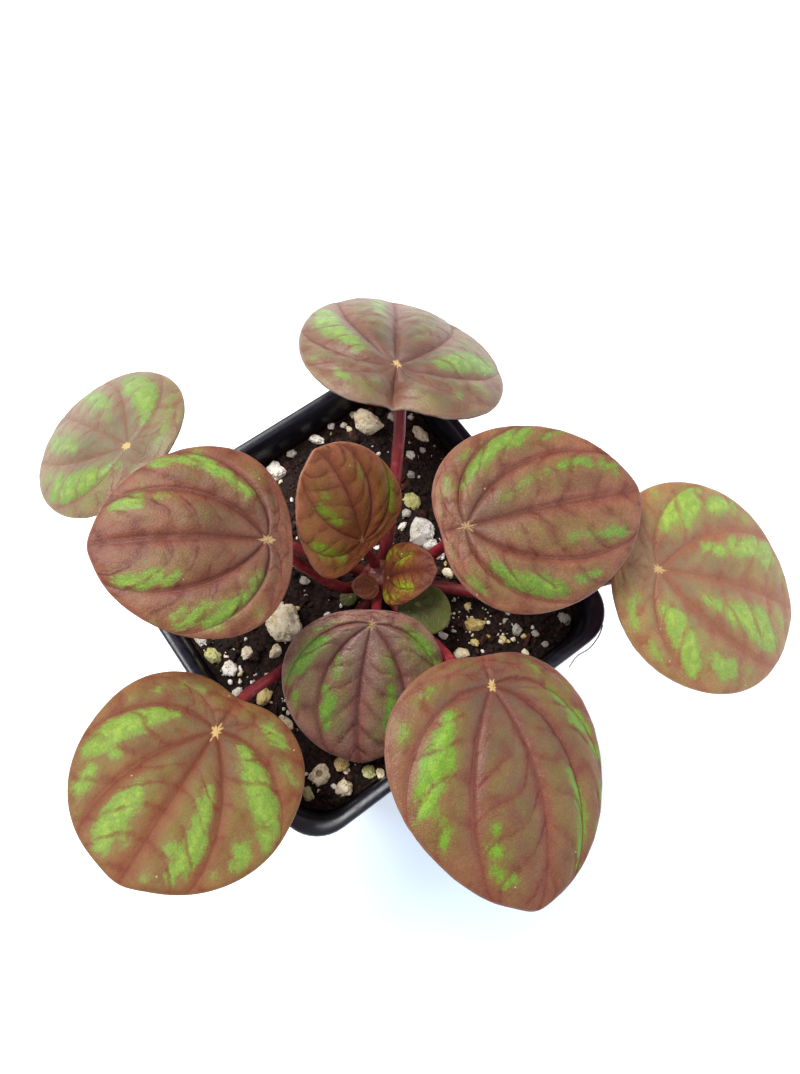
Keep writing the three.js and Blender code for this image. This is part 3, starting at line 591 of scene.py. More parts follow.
        (0.45, [(18.5, 14.7, 1.8), (19.9, 16, 1.5)]),
        (0.45, [(-7.2, -5.1, 1.1), (-5.2, -9.7, 1.1), (-3.3, -13, 0.8)]),
        (0.3, [(0, -16.3, 1.2)]),
        (0.3, [(-3.3, 13.4, 0.9)]),
        (0.3, [(0.7, 17.4, 0.8)]),
        (0.35, [(26.5, -14.4, 1.3)]),
    ],
    "leaf_9": [
        (0.8, [(1.1, -9.8, 0.9), (3.8, -11.6, 1), (6.8, -12.7, 0.9), (9.9, -13.1, 0.5)]),
        (1, [(0.7, 6.5, 0.6), (3.3, 8.5, 1.1), (5.9, 9.8, 1.4), (8.6, 11.3, 1)]),
        (0.95, [(7.9, 3, 0.9), (9.9, 4.1, 1.1), (12.5, 5, 1.1), (14.6, 5.8, 0.9)]),
        (0.7, [(15.1, 2.8, 0.7), (17.3, 3.7, 0.4)]),
        (0.5, [(19, 5.4, 0.5)]),
        (0.35, [(12.5, -7.4, 0.9), (15.1, -7.4, 0.9)]),
        (0.3, [(-0.6, 8.9, 0.5)]),
        (0.35, [(12.5, 11.1, 0.8)]),
    ],
    "leaf_10": [
        (0.9, [(3.4, -2.3, 0.5), (5, -3.1, 0.9), (6.9, -3.4, 0.9), (8.2, -3.8, 0.5)]),
        (0.8, [(3.7, 3, 0.5), (5.6, 3.5, 0.7), (7.2, 3.9, 0.5)]),
        (0.7, [(-0.6, -3.9, 0.7), (0.8, -5, 0.7)]),
        (0.6, [(3.2, -5.4, 0.7), (4.8, -5.3, 0.6)]),
        (0.6, [(0, 4.9, 0.9), (1.6, 5.7, 0.6), (3.2, 5.7, 0.5)]),
    ],
}


def bell(away, width):
    return np.exp(-((away / width) ** 2))


def bladeAxes(leaf):
    heading, pitch, roll = (math.radians(leaf[key]) for key in ("heading", "pitch", "roll"))
    slope = math.cos(pitch)
    along = Vector((math.cos(heading) * slope, math.sin(heading) * slope, -math.sin(pitch)))
    level = Vector((-math.sin(heading), math.cos(heading), 0))
    left = level * math.cos(roll) + along.cross(level) * math.sin(roll)
    return along, left, along.cross(left)


def edgePoints(leaf, turn):
    ahead = np.cos(turn)
    degrees = np.abs(np.degrees(turn))
    swell = np.where(ahead < 0, 1 + leaf["lobe"] * np.sin(2 * turn) ** 2, 1)
    tip = blades["tip"] * leaf["length"] / blades["usual"] * bell(degrees, blades["tipWide"])
    cut = 1 - leaf["notch"] * bell(180 - degrees, blades["notchWide"])
    x = leaf["length"] / 2 * ahead * swell + leaf["length"] / 2 - leaf["back"] + tip
    y = leaf["width"] / 2 * np.sin(turn) * (1 - leaf["egg"] * ahead) * swell
    return x * cut, y * (1 + leaf["lean"] * np.sign(turn)) * cut


def edgeToward(leaf, angle):
    turns = np.linspace(0, math.pi, 1801)
    x, y = np.empty_like(angle), np.empty_like(angle)
    for side in (-1, 1):
        edgeX, edgeY = edgePoints(leaf, side * turns)
        reach = np.arctan2(np.abs(edgeY), edgeX)
        here = angle < 0 if side < 0 else angle >= 0
        x[here] = np.interp(np.abs(angle[here]), reach, edgeX)
        y[here] = np.interp(np.abs(angle[here]), reach, edgeY)
    return x, y


def laneAngle(leaf, lane, out):
    # lane 0 is the midrib, 1 to 3 the side veins and 4 the crease behind the star
    step = np.abs(lane)
    edge = np.interp(step, range(5), leaf["veins"]["atEdge"])
    star = np.interp(step, range(5), leaf["veins"]["atStar"])
    inward = (1 - out) ** blades["curl"]
    sway = leaf["sway"] * (1 - step / 4) * inward
    return np.radians(np.sign(lane) * (edge + (star - edge) * inward) + sway)


def branchPhase(band, across, out, seed):
    # side veins: whole numbers of this phase, which run from each main vein out toward the edge
    rise = np.choose(band, (0.36, 0.5, 0.36, 0.26))
    gap = np.choose(band, (0.17, 0.21, 0.23, 0.26))
    start = np.choose(band, (0.03, 0.1, 0.12, 0.1))
    drift = 0.10 * np.sin(7.3 * across + 2.1 * seed + 3 * band) + 0.12 * np.sin(9.1 * out + seed)
    return (out - rise * across ** 1.25 - start) / gap + drift


def splashReach(strokes, x, y):
    # how far inside the nearest splash a point is, in millimetres, and that splash's strength
    inside = np.full_like(x, -4.0)
    strength = np.zeros_like(x)
    for power, points in strokes:
        pairs = list(zip(points, points[1:])) or [(points[0], points[0])]
        for (x0, y0, w0), (x1, y1, w1) in pairs:
            span = max((x1 - x0) ** 2 + (y1 - y0) ** 2, 1e-9)
            share = np.clip(((x - x0) * (x1 - x0) + (y - y0) * (y1 - y0)) / span, 0, 1)
            away = np.hypot(x - x0 - share * (x1 - x0), y - y0 - share * (y1 - y0))
            depth = w0 + share * (w1 - w0) - away
            nearer = depth > inside
            inside[nearer] = depth[nearer]
            strength[nearer] = power
    return inside, strength


def bladeHeights(leaf, lane, out, x, y, veinAway, seed):
    # how far each point lies above the star's plane, and how deep its main vein is sunk
    size = leaf["length"] / blades["usual"]
    tipDroop, backDroop, sideDroop = leaf["droop"]
    span = np.where(x > 0, leaf["length"] - leaf["back"], leaf["back"])
    height = -np.where(x > 0, tipDroop, backDroop) * (x / span) ** 2
    height -= sideDroop * (y / (leaf["width"] / 2)) ** 2

    # quilting: a pillow in each lane, the two beside the back crease partly run together
    pillow = np.abs(np.sin(np.pi * lane)) ** blades["pillow"]
    backward = np.clip(np.abs(lane) - 2, 0, 2)
    joined = np.sin(np.pi * backward / 2) ** blades["pillow"]
    pillow += (joined - pillow) * blades["merge"] * np.minimum(backward, 1)
    # narrow lanes behind the star swell less
    firstX, firstY = edgeToward(leaf, laneAngle(leaf, np.floor(lane), out))
    nextX, nextY = edgeToward(leaf, laneAngle(leaf, np.floor(lane) + 1, out))
    laneWide = np.hypot(nextX - firstX, nextY - firstY) * out / size
    pillow = pillow * np.clip(0.2 + laneWide / blades["laneRoom"], 0.2, 1)
    # and a short back stays nearly flat
    behind = min(max((leaf["back"] / blades["longBack"]) ** 1.5, 0.12), 1)
    calmBack = np.interp(np.abs(lane), (1.7, 2.7, 4), (1, behind, behind))
    pillow = pillow * calmBack
    height += leaf["quilt"] * pillow * (4 * out * (1 - out) + 0.25 * out ** 2)

    # side veins and main veins are furrows, and the back crease can be a fold
    grown = min(leaf["quilt"], 1.2)
    band = np.minimum(np.abs(lane).astype(int), 3)
    across = np.abs(lane) - band
    phase = branchPhase(band, across, out, seed)
    branchNear = bell(phase - np.rint(phase), 0.1)
    shown = np.clip((out - 0.18) / 0.2, 0, 1) * np.clip((1 - out) / 0.05, 0, 1)
    calm = np.abs(np.sin(np.pi * across)) ** 0.3 * calmBack
    height -= blades["furrow"] * leaf["furrowed"] * grown * branchNear * shown * calm
    nearest = np.abs(np.clip(np.rint(lane), -4, 4))
    sunk = np.interp(nearest, range(5), (1, 1, 0.85, 0.3, min(1, 5 * leaf["notch"])))
    groove = bell(veinAway, 0.5 * size) * (1 - out) ** 0.4
    offStar = np.hypot(x, y)
    height -= blades["groove"] * grown * groove * sunk * (0.4 + 0.6 * calmBack) * (offStar > 0.3)
    crease = np.exp(-((np.abs(y) / 3.4) ** 1.3)) * np.where(x < 0, 1, 0.55 * (1 - out) ** 0.5)
    height -= leaf.get("fold", 0) * crease * np.clip((offStar - 1.6) / 4, 0, 1)

    # small unevenness, and the rim turned down
    bumps, fine = (np.array([noise.noise(Vector((a * scale, b * scale, shift))) for a, b in zip(x, y)])
                   for scale, shift in ((0.42, seed), (1.3, seed + 5)))
    height += blades["pucker"] * grown * (bumps + 0.35 * fine) * np.clip(out * 3, 0, 1)
    return height - blades["rimDrop"] * np.clip((out - 0.96) / 0.04, 0, 1) ** 2, sunk


def addUnderside(bm, leaf, rimLayer, veinLayer):
    # the underside is a copy below, and a narrow rim joins the two
    up = bladeAxes(leaf)[2]
    size = leaf["length"] / blades["usual"]
    small = min(1, leaf["length"] / blades["fullThick"])
    copied = bmesh.ops.duplicate(bm, geom=bm.verts[:] + bm.edges[:] + bm.faces[:])["geom"]
    under = only(BMFace, copied)
    bmesh.ops.reverse_faces(bm, faces=under)
    for face in under:
        face.material_index = 1
    for v in only(BMVert, copied):
        thin = min(v[rimLayer] / 2.5, 1)
        thick = blades["rimThick"] + (blades["thick"] - blades["rimThick"]) * thin
        rib = blades["ribs"] * bell(v[veinLayer], 0.8 * size) * min(v[rimLayer] / 8, 1)
        v.co -= up * (thick + rib) * small
    rim = bmesh.ops.bridge_loops(bm, edges=[e for e in bm.edges if e.is_boundary])
    for face in rim["faces"]:
        face.material_index = 2
    bridges = {e for f in rim["faces"] for e in f.edges if all(g.material_index == 2 for g in e.link_faces)}
    cut = bmesh.ops.subdivide_edges(bm, edges=list(bridges), cuts=1)
    centre = Vector(leaf["star"])
    for v in only(BMVert, cut["geom_inner"]):
        outward = v.co - centre
        outward -= up * outward.dot(up)
        v.co += outward.normalized() * blades["rimBulge"] * small


def bladeMesh(name, leaf, cuts, rings):
    along, left, up = bladeAxes(leaf)
    seed = sum(map(ord, name)) % 17 + leaf["star"][0] * 0.37
    half = [band + i / n for band, n in enumerate(cuts) for i in range(n)] + [4]
    lanes = np.array([-lane for lane in half[:0:-1]] + half)
    columns = len(lanes) - 1
    bm = bmesh.new()
    bmesh.ops.create_grid(bm, x_segments=columns, y_segments=rings, size=1)
    bm.verts.ensure_lookup_table()
    spots = np.array([v.co for v in bm.verts])
    lane = lanes[np.rint((spots[:, 0] + 1) / 2 * columns).astype(int)]
    out = np.rint((spots[:, 1] + 1) / 2 * rings) / rings

    # place in the blade's plane
    edgeX, edgeY = edgeToward(leaf, laneAngle(leaf, lane, out))
    sideways = np.abs(lane) * (4 - np.abs(lane)) / 4
    ripple = 1 + blades["ripple"] * np.sin(5 * np.arctan2(edgeY, edgeX) + seed) * sideways * out
    x, y = edgeX * out * ripple, edgeY * out * ripple

    # distance to the nearest main vein, measured across the lanes
    veinX, veinY = edgeToward(leaf, laneAngle(leaf, np.clip(np.rint(lane), -4, 4), out))
    veinAway = np.hypot(edgeX - veinX, edgeY - veinY) * out
    height, sunk = bladeHeights(leaf, lane, out, x, y, veinAway, seed)

    # what the skin reads at each point
    inside, strength = splashReach(splashes.get(name, []), x, y)
    measures = {
        "veinAway": veinAway, "starAway": np.hypot(x / 1.45, y * 1.1),
        "rimAway": (1 - out) * np.hypot(edgeX, edgeY), "splash": inside, "glow": strength, "sunk": sunk,
    }
    for label in measures:
        bm.verts.layers.float.new(label)
    layers = {label: bm.verts.layers.float[label] for label in measures}
    for i, v in enumerate(bm.verts):
        v.co = Vector(leaf["star"]) + along * x[i] + left * y[i] + up * height[i]
        for label, layer in layers.items():
            v[layer] = measures[label][i]

    # where each corner lies on the blade, and its side vein phase within its own band
    uvLayer = bm.loops.layers.uv.new("bladeMap")
    phaseLayer = bm.loops.layers.float.new("branch")
    for face in bm.faces:
        middle = sum(lane[loop.vert.index] for loop in face.loops) / 4
        own = min(int(abs(middle)), 3)
        for loop in face.loops:
            i = loop.vert.index
            share = min(max(abs(lane[i]) - own, 0), 1)
            loop[uvLayer].uv = (lane[i] / 8 + 0.5, out[i])
            loop[phaseLayer] = float(branchPhase(own, share, out[i], seed))
    bmesh.ops.remove_doubles(bm, verts=bm.verts, dist=0.0005)
    addUnderside(bm, leaf, layers["rimAway"], layers["veinAway"])
    return bm


# Leaf skin

def buildLeafSkin():
    # bronze blade with maroon veins, feathered green splashes, a pale star and a thin pink edge
    group, given = newGroup(
        "leafSkin",
        Color=("Inner", "Outer", "Olive", "Vein", "Shade", "Splash", "Splash Deep", "Halo", "Edge", "Star"),
        Vector=("Seed",), Float=("Gloss", "Ragged", "Star Size", "Vein Width", "Sparkle"))
    spot = millimetres(group, given["Seed"])
    across, out, _ = feed(group, "ShaderNodeUVMap", {}, uv_map="bladeMap").split()
    phase, veinAway, splash = (reading(group, label) for label in ("branch", "veinAway", "splash"))
    glow, sunk = reading(group, "glow"), reading(group, "sunk")
    broad = spot.cloud(0.11, 2)
    patchy = spot.cloud(0.5, 4, 0.6)
    grit = spot.cloud(2.6, 3, 0.7)

    # ground: greyer by the star, olive between the veins, redder along them and at the margin
    near = veinAway / given["Vein Width"]
    skin = given["Inner"].toward(given["Outer"], (out + broad * 0.7).fade(0.35, 1.25))
    between = near.fade(2.5, 9.0) * out.fade(0.08, 0.35) * out.fade(0.74, 0.97, 1, 0.25)
    olive = between * spot.cloud(0.22, 3, 0.55).fade(0.35, 0.62, 0.35, 1)
    skin = skin.toward(given["Olive"], olive * 0.85)
    skin = skin.toward(given["Shade"], spot.cloud(0.3, 3).fade(0.45, 0.7, 0, 0.4))
    skin = skin.toward(given["Shade"], broad.fade(0.3, 0.6, 0.26, 0), "MULTIPLY")

    # green splashes, feathered along the side veins
    streak = feed(group, "ShaderNodeCombineXYZ", {0: phase * 2.6, 1: across * 34})
    ragged = streak.shift(given["Seed"]).cloud(1.5, 3, 0.55)
    tear = (ragged - 0.5) * given["Ragged"] + (patchy - 0.5) * 2.6 + (grit - 0.5) * 1.3
    edge = splash + tear - (1.0 - glow) * 0.9
    green = edge.fade(-0.75, 0.75) * glow.fade(0.1, 0.7, 0.4, 1)
    halo = edge.fade(-2.9, 0.2) * spot.cells(1.25).fade(0.2, 0.6, 1, 0.55)

    # side veins cross the splashes and the ground
    offset = sidePhase(phase + patchy.calc("MULTIPLY_ADD", 0.35, -0.17))
    shown = out.fade(0.12, 0.4) * spot.cloud(0.3, 2).fade(0.35, 0.6, 0.3, 1)
    branch = offset.fade(0.0, 0.15, 1, 0) * shown
    branchWide = offset.fade(0.03, 0.34, 1, 0) * shown
    netting = spot.cells(0.75, "DISTANCE_TO_EDGE").fade(0.0, 0.12, 1, 0)
    # the maroon vein core and the red zone beside it grow with how deep the vein is sunk: the veins' own red,
    # partly painted shade in their grooves
    uneven = patchy.fade(0.25, 0.7, 0.6, 1) * sunk * out.fade(0.1, 1.0, 1.0, 0.6)
    veinCore = near.fade(0.1, 1.6, 1, 0) * uneven
    veinZone = near.fade(0.6, 6.5, 1, 0) * (patchy.fade(0.2, 0.8, 0.6, 1) * sunk.calc("SQRT"))

    skin = skin.toward(given["Halo"], halo * 0.6)
    skin = skin.toward(given["Shade"], veinZone * 0.62)
    skin = skin.toward(given["Shade"], branchWide * 0.5)
    kept = (1.0 - branch * 0.6) * (1.0 - veinCore) * (1.0 - netting * 0.12)
    vivid = given["Splash"].toward(given["Splash Deep"], patchy.fade(0.35, 0.62))
    vivid = given["Splash Deep"].toward(vivid, edge.fade(0.1, 1.6))
    skin = skin.toward(vivid, green * kept)
    for lines, share in ((branch, 0.3), (netting, 0.07), (veinCore, 0.66)):
        skin = skin.toward(given["Vein"], lines * share)

    # cell grain with painted glints, a little dust, the star and the edge
    light = spot.cells(2.3).fade(0.0, 0.65, 1.0, 0.0)
    # the Sparkle share paints the cells pale and warm: painted glints of light
    skin = skin.toward((1, 0.93, 0.86, 1), light * given["Sparkle"], "SOFT_LIGHT")
    skin = skin.toward(given["Shade"], grit.fade(0.3, 0.62, 0.2, 0))
    dust = spot.cells(0.42)
    fleck = dust.fade(0.04, 0.1, 1, 0) * dust.chances()[0].calc("GREATER_THAN", 0.93)
    skin = skin.toward((0.62, 0.55, 0.46, 1), fleck * 0.5)
    rays = reading(group, "starAway") / given["Star Size"] - veinAway.fade(0.05, 0.4, 0.7, 0)
    rays = rays + (spot.cloud(0.8, 2, 0.5) - 0.5) * 2.6
    skin = skin.toward(given["Star"], rays.fade(0.2, 0.95, 0.85, 0))
    skin = skin.toward(given["Edge"], reading(group, "rimAway").fade(0.05, 0.3, 0.5, 0))

    rough = grit.calc("MULTIPLY_ADD", 0.22, given["Gloss"]) + veinCore * 0.12
    lift = light * 0.04 + patchy * 0.12 - branch * 0.14 - netting * 0.03 - veinCore * 0.12
    return closeGroup(group, Color=skin, Roughness=rough, Height=lift)


def buildUndersideSkin():
    # wine red below, with paler ribs
    group, given = newGroup("undersideSkin", Color=("Flesh", "Deep", "Rib"), Vector=("Seed",))
    spot = millimetres(group, given["Seed"])
    patchy = spot.cloud(0.5, 4, 0.6)
    skin = given["Deep"].toward(given["Flesh"], patchy.fade(0.3, 0.7))
    light = spot.cells(2.3).fade(0, 0.6, 1, 0)
    skin = skin.toward(given["Rib"], light * 0.25)
    branch = sidePhase(reading(group, "branch")).fade(0.02, 0.12, 0.5, 0)
    rib = reading(group, "veinAway").fade(0.3, 1.0, 0.85, 0)
    skin = skin.toward(given["Rib"], branch.calc("MAXIMUM", rib))
    rough = patchy.fade(0, 1, 0.38, 0.6)
    return closeGroup(group, Color=skin, Roughness=rough, Height=branch * 0.12 + light * 0.04)


# tones read off the photograph, one set for the open leaves and one for the domed inner ones
bronze = toned({
    "Inner": (124, 94, 74), "Outer": (152, 94, 66), "Olive": (126, 104, 50), "Vein": (112, 34, 30),
    "Shade": (130, 56, 42), "Splash": (146, 190, 40), "Splash Deep": (120, 164, 34),
    "Halo": (134, 132, 44), "Edge": (160, 110, 90), "Star": (180, 152, 98),
    "Gloss": 0.36, "Ragged": 2.6, "Star Size": 0.9, "Vein Width": 0.42, "Sparkle": 0.3,
})
pale = {**bronze, "Vein": tone(138, 66, 54), "Vein Width": 0.6}
# leaf_1's set, darker by the star and along its veins: painted shade in its fold
foldShaded = {**pale, "Inner": tone(100, 70, 52), "Vein": tone(112, 46, 36)}
mauve = {**bronze, **toned({
    "Inner": (110, 84, 64), "Outer": (137, 84, 62), "Olive": (106, 88, 44), "Vein": (76, 24, 20),
    "Shade": (98, 42, 28), "Splash": (118, 166, 36), "Splash Deep": (94, 140, 30),
    "Halo": (110, 108, 36), "Edge": (146, 100, 84), "Star": (150, 124, 84),
    "Gloss": 0.30, "Sparkle": 0.5,
})}
young = {**bronze, **toned({
    "Inner": (98, 52, 22), "Outer": (138, 74, 34), "Olive": (112, 80, 22), "Vein": (86, 30, 20),
    "Shade": (104, 44, 22), "Splash": (124, 148, 22), "Splash Deep": (100, 122, 18),
    "Halo": (118, 98, 26), "Edge": (150, 100, 80), "Star": (128, 92, 60),
    "Gloss": 0.44, "Star Size": 0.5, "Vein Width": 0.34,
})}
pinkEdged = {**young, "Outer": tone(150, 84, 92), "Edge": tone(150, 104, 130)}
sproutGreen = {**bronze, **toned({
    "Inner": (96, 104, 32), "Outer": (104, 112, 36), "Olive": (84, 108, 30), "Vein": (120, 112, 54),
    "Shade": (78, 82, 28), "Splash": (120, 138, 36), "Splash Deep": (96, 114, 30),
    "Halo": (118, 116, 44), "Edge": (110, 100, 56), "Star": (130, 126, 66),
    "Star Size": 0.4, "Vein Width": 0.22, "Sparkle": 0.25,
})}
groundLabels = ("Inner", "Outer", "Olive", "Vein", "Shade", "Edge")
greenLabels = ("Splash", "Splash Deep", "Halo")

# for each leaf: its set, the gains on its ground and on its green, and what else differs; the gains are partly
# the leaf's own tint and partly painted light and shade, lighter or darker by how light falls on it
leafTones = {
    "leaf_1": (foldShaded, (0.56, 0.95, 1.05), (0.65, 0.57, 2.74), {}),
    "leaf_2": (mauve, (0.83, 0.88, 0.89), (0.79, 0.65, 1.43), {"Gloss": 0.37}),
    "leaf_3": (pale, (0.84, 1.24, 0.89), (0.8, 0.7, 1.95), {}),
    "leaf_4": (bronze, (0.54, 0.61, 0.58), (0.49, 0.54, 0.58), {}),
    "leaf_5": (mauve, (0.82, 1.03, 1.41), (0.71, 0.72, 1.08), {"Sparkle": 0.65}),
    "leaf_6": (bronze, (0.56, 0.71, 0.52), (0.65, 0.57, 1.84), {"Gloss": 0.48, "Sparkle": 0.2}),
    "leaf_7": (mauve, (0.72, 0.65, 0.62), (1.04, 0.8, 2.03), {"Gloss": 0.4, "Sparkle": 0.4}),
    "leaf_8": (pale, (0.56, 1.16, 1.02), (0.56, 0.52, 1.6), {}),
    "leaf_9": (pinkEdged, (0.85, 0.87, 0.3), (0.9, 0.9, 0.8), {}),
    "leaf_10": (young, (0.47, 0.37, 0.41), (1.25, 1.15, 0.7), {"Star Size": 0.25}),
    "leaf_11": (young, (0.7, 0.65, 0.6), (0.8, 0.8, 0.8), {"Star Size": 0.2, "Vein Width": 0.2}),
    "sprout_1": (sproutGreen, (0.75, 0.75, 0.75), (0.75, 0.75, 0.75), {}),
    "sprout_2": (sproutGreen, (0.65, 0.65, 0.65), (0.7, 0.7, 0.7), {"Star Size": 0.2}),
}
shine = {"leaf_2": 0.3, "leaf_4": 0.3, "leaf_6": 0.18, "leaf_7": 0.3, "leaf_9": 0.28, "leaf_10": 0.22}
wineBelow = toned({"Flesh": (120, 44, 50), "Deep": (92, 28, 36), "Rib": (168, 104, 92)})
greenBelow = toned({"Flesh": (110, 116, 60), "Deep": (92, 92, 46), "Rib": (140, 140, 84)})
leafSkin = buildLeafSkin()
undersideSkin = buildUndersideSkin()


def tonesWithPaintedLight(name):
    # a leaf's set of tones, made paler, warmer or deeper by its gains, partly its own tint and partly painted
    # light and shade
    tones, ground, green, others = leafTones[name]
    made = {**tones, **others}
    for gains, labels in ((ground, groundLabels), (green, greenLabels)):
        for label in labels:
            made[label] = (*(value * gain for value, gain in zip(tones[label], gains)), 1)
    return made


def leafSkins(name):
    values = tonesWithPaintedLight(name)
    index = list(leaves).index(name)
    seed = (index * 37.3, index * -21.7, index * 11.9)
    upper = newSkin(name + "Skin", leafSkin, {**values, "Seed": seed},
                    {"Specular IOR Level": shine.get(name, 0.4), "Subsurface Weight": 0.08,
                     "Subsurface Scale": 0.001, "Subsurface Radius": (1.0, 0.5, 0.25)},
                    0.5 + 0.3 * leaves[name]["furrowed"])
    flesh = {**(greenBelow if name.startswith("sprout") else wineBelow), "Seed": seed}
    lower = newSkin(name + "Underside", undersideSkin, flesh, {"Specular IOR Level": 0.4}, 0.8)
    margin = {"Flesh": values["Edge"], "Deep": values["Shade"], "Rib": values["Edge"], "Seed": seed}
    rim = newSkin(name + "Rim", undersideSkin, margin, {"Specular IOR Level": 0.4}, 0.5)
    return [upper, lower, rim]


# how finely a blade is cut, by its length
bladeSizes = [
    {"over": 30, "cuts": (18, 20, 22, 28), "rings": 64},
    {"over": 10, "cuts": (14, 14, 14, 20), "rings": 44},
    {"over": 0, "cuts": (8, 8, 8, 10), "rings": 20},
]
for name, leaf in leaves.items():
    size = next(size for size in bladeSizes if leaf["length"] > size["over"])
    slot = "sprout_blade" if "sprout" in name else "blade" if size is bladeSizes[0] else "young_blade"
    bm = bladeMesh(name, leaf, size["cuts"], size["rings"])
    finishPiece(name.replace("_", "") + "_lamina", bm, leafSkins(name), slot, name + "_blade")
print("blades made,", len(leaves))


# Petioles, stalks and the crown

crown = {
    "middle": (5, -3),
    "profile": [(0, 68), (2.4, 68), (3.6, 74), (4.4, 79), (4.8, 82.5), (3.8, 85), (2, 86.2), (0, 86.4)],
    "sink": 1.1,  # how far a petiole's foot sits inside the crown
    "lumps": 0.35,
}
stems = {
    "neck": 7,  # last stretch, where a petiole turns up to the blade
    "inTop": 1.65,  # how far the top reaches into the blade
    "footSwell": 0.3,
    "footReach": 2.2,
    "topSwell": 0.22,
    "topReach": 1.4,
    "sides": 18,
    "stations": 46,
    "wobble": 0.035,  # unevenness of the thickness
}


def buildStemSkin():
    # translucent crimson, streaked along its length, paler in patches and toward its top, darker at its foot
    group, given = newGroup("stemSkin", Color=("Main", "Deep", "Pale", "Foot"), Vector=("Seed",))
    spot = millimetres(group, given["Seed"])
    share, turn = reading(group, "share"), reading(group, "turn")
    lengthways = feed(group, "ShaderNodeCombineXYZ", {0: share * 1.6, 1: turn * 5.0})
    streak = lengthways.shift(given["Seed"]).cloud(2.2, 4, 0.6)
    patchy = spot.cloud(0.6, 3)
    light = spot.cells(2.8).fade(0, 0.6, 1, 0)
    skin = given["Deep"].toward(given["Main"], streak.fade(0.35, 0.65))
    skin = skin.toward(given["Pale"], patchy.fade(0.5, 0.8, 0, 0.45))
    skin = skin.toward(given["Pale"], light * 0.16)
    skin = skin.toward(given["Foot"], share.fade(0.02, 0.2, 0.8, 0))
    skin = skin.toward(given["Pale"], share.fade(0.93, 1.0, 0, 0.5))
    rough = patchy.fade(0.2, 0.8, 0.32, 0.52)
    return closeGroup(group, Color=skin, Roughness=rough, Height=streak * 0.16 + light * 0.03)


def crownRadius(z):
    radii, heights = zip(*crown["profile"][1:])
    return float(np.interp(z, heights, radii))


def soilHeight(x, y):
    away = math.hypot(x - crown["middle"][0], y - crown["middle"][1])
    mound = 0.8 * bell(away, 13)
    swell = 0.5 * math.sin(0.31 * x + 1.3) * math.sin(0.27 * y + 0.4)
    lumps = 0.3 * math.sin(0.83 * x + 0.41 * y) + 0.25 * math.sin(0.97 * y - 0.37 * x + 2)
    return 77 + mound + swell + lumps


def stemRoute(leaf, foot, via):
    up = bladeAxes(leaf)[2]
    end = Vector(leaf["star"]) - up * 1.2
    points = [foot, *(Vector(spot) for spot in via)]
    last = points[-1]
    turnIn = ((end - last).normalized() * 0.45 + up * 0.55).normalized()
    if (end - last).length > 2 * stems["neck"]:
        points.append(end - turnIn * stems["neck"])
    points.append(end)
    return smoothRoute(points, stems["stations"])


def stemThickness(girth, length):
    def thickness(share):
        base = girth[0] + (girth[1] - girth[0]) * math.sqrt(share)
        foot = 1 + stems["footSwell"] * bell(share * length, stems["footReach"])
        top = 1 + stems["topSwell"] * bell((1 - share) * length, stems["topReach"])
        return base * foot * top
    return thickness


stemSkin = buildStemSkin()
crimson = toned({"Main": (132, 34, 42), "Deep": (98, 20, 30), "Pale": (176, 92, 84), "Foot": (84, 30, 26)})
greenStem = toned({
    "Main": (112, 112, 62), "Deep": (96, 84, 48), "Pale": (150, 146, 92), "Foot": (92, 66, 44),
})
crownWood = toned({"Main": (104, 44, 38), "Deep": (70, 28, 24), "Pale": (150, 96, 74), "Foot": (52, 32, 24)})
stemShader = {
    "Specular IOR Level": 0.3, "Subsurface Weight": 0.12, "Subsurface Scale": 0.001,
    "Subsurface Radius": (1.0, 0.3, 0.2), "Coat Weight": 0.12, "Coat Roughness": 0.3,
}

for index, (name, leaf) in enumerate(leaves.items()):
    up = bladeAxes(leaf)[2]
    sprout = name.startswith("sprout")
    if sprout:
        x, y = leaf["foot"]
        surface = soilHeight(x, y)
        route = stemRoute(leaf, Vector((x, y, surface - leaf["depth"])), [(x, y, surface)])
    else:
        direction, z = leaf["foot"]
        outward = Vector((math.cos(math.radians(direction)), math.sin(math.radians(direction)), 0))
        radius = max(crownRadius(z) - crown["sink"], 0)
        route = stemRoute(leaf, Vector((*crown["middle"], z)) + outward * radius, leaf["via"])
        route[0] = route[0] + (route[0] - route[1]).normalized() * 0.8
    grown = leaf["length"] > 10
    route[-1] = Vector(leaf["star"]) - up * (stems["inTop"] if grown else 0.3)
    length = sum((b - a).length for a, b in zip(route, route[1:]))
    bm = bmesh.new()
    bm.verts.layers.float.new("share")
    bm.verts.layers.float.new("turn")
    addStem(bm, route, stemThickness(leaf["girth"], length), stems["sides"] if grown else 12,
            stems["wobble"], index * 2.1)
    values = {**(greenStem if sprout else crimson), "Seed": (index * 13.1, index * 7.7, index * -5.3)}
    skin = newSkin(name + "Stem", stemSkin, values, stemShader, 0.6)
    slot, node = ("sprout_stalk", "_stalk") if sprout else ("petiole", "_petiole")
    finishPiece(name.replace("_", "") + "_stem", bm, [skin], slot, name + node)
print("petioles and stalks made")

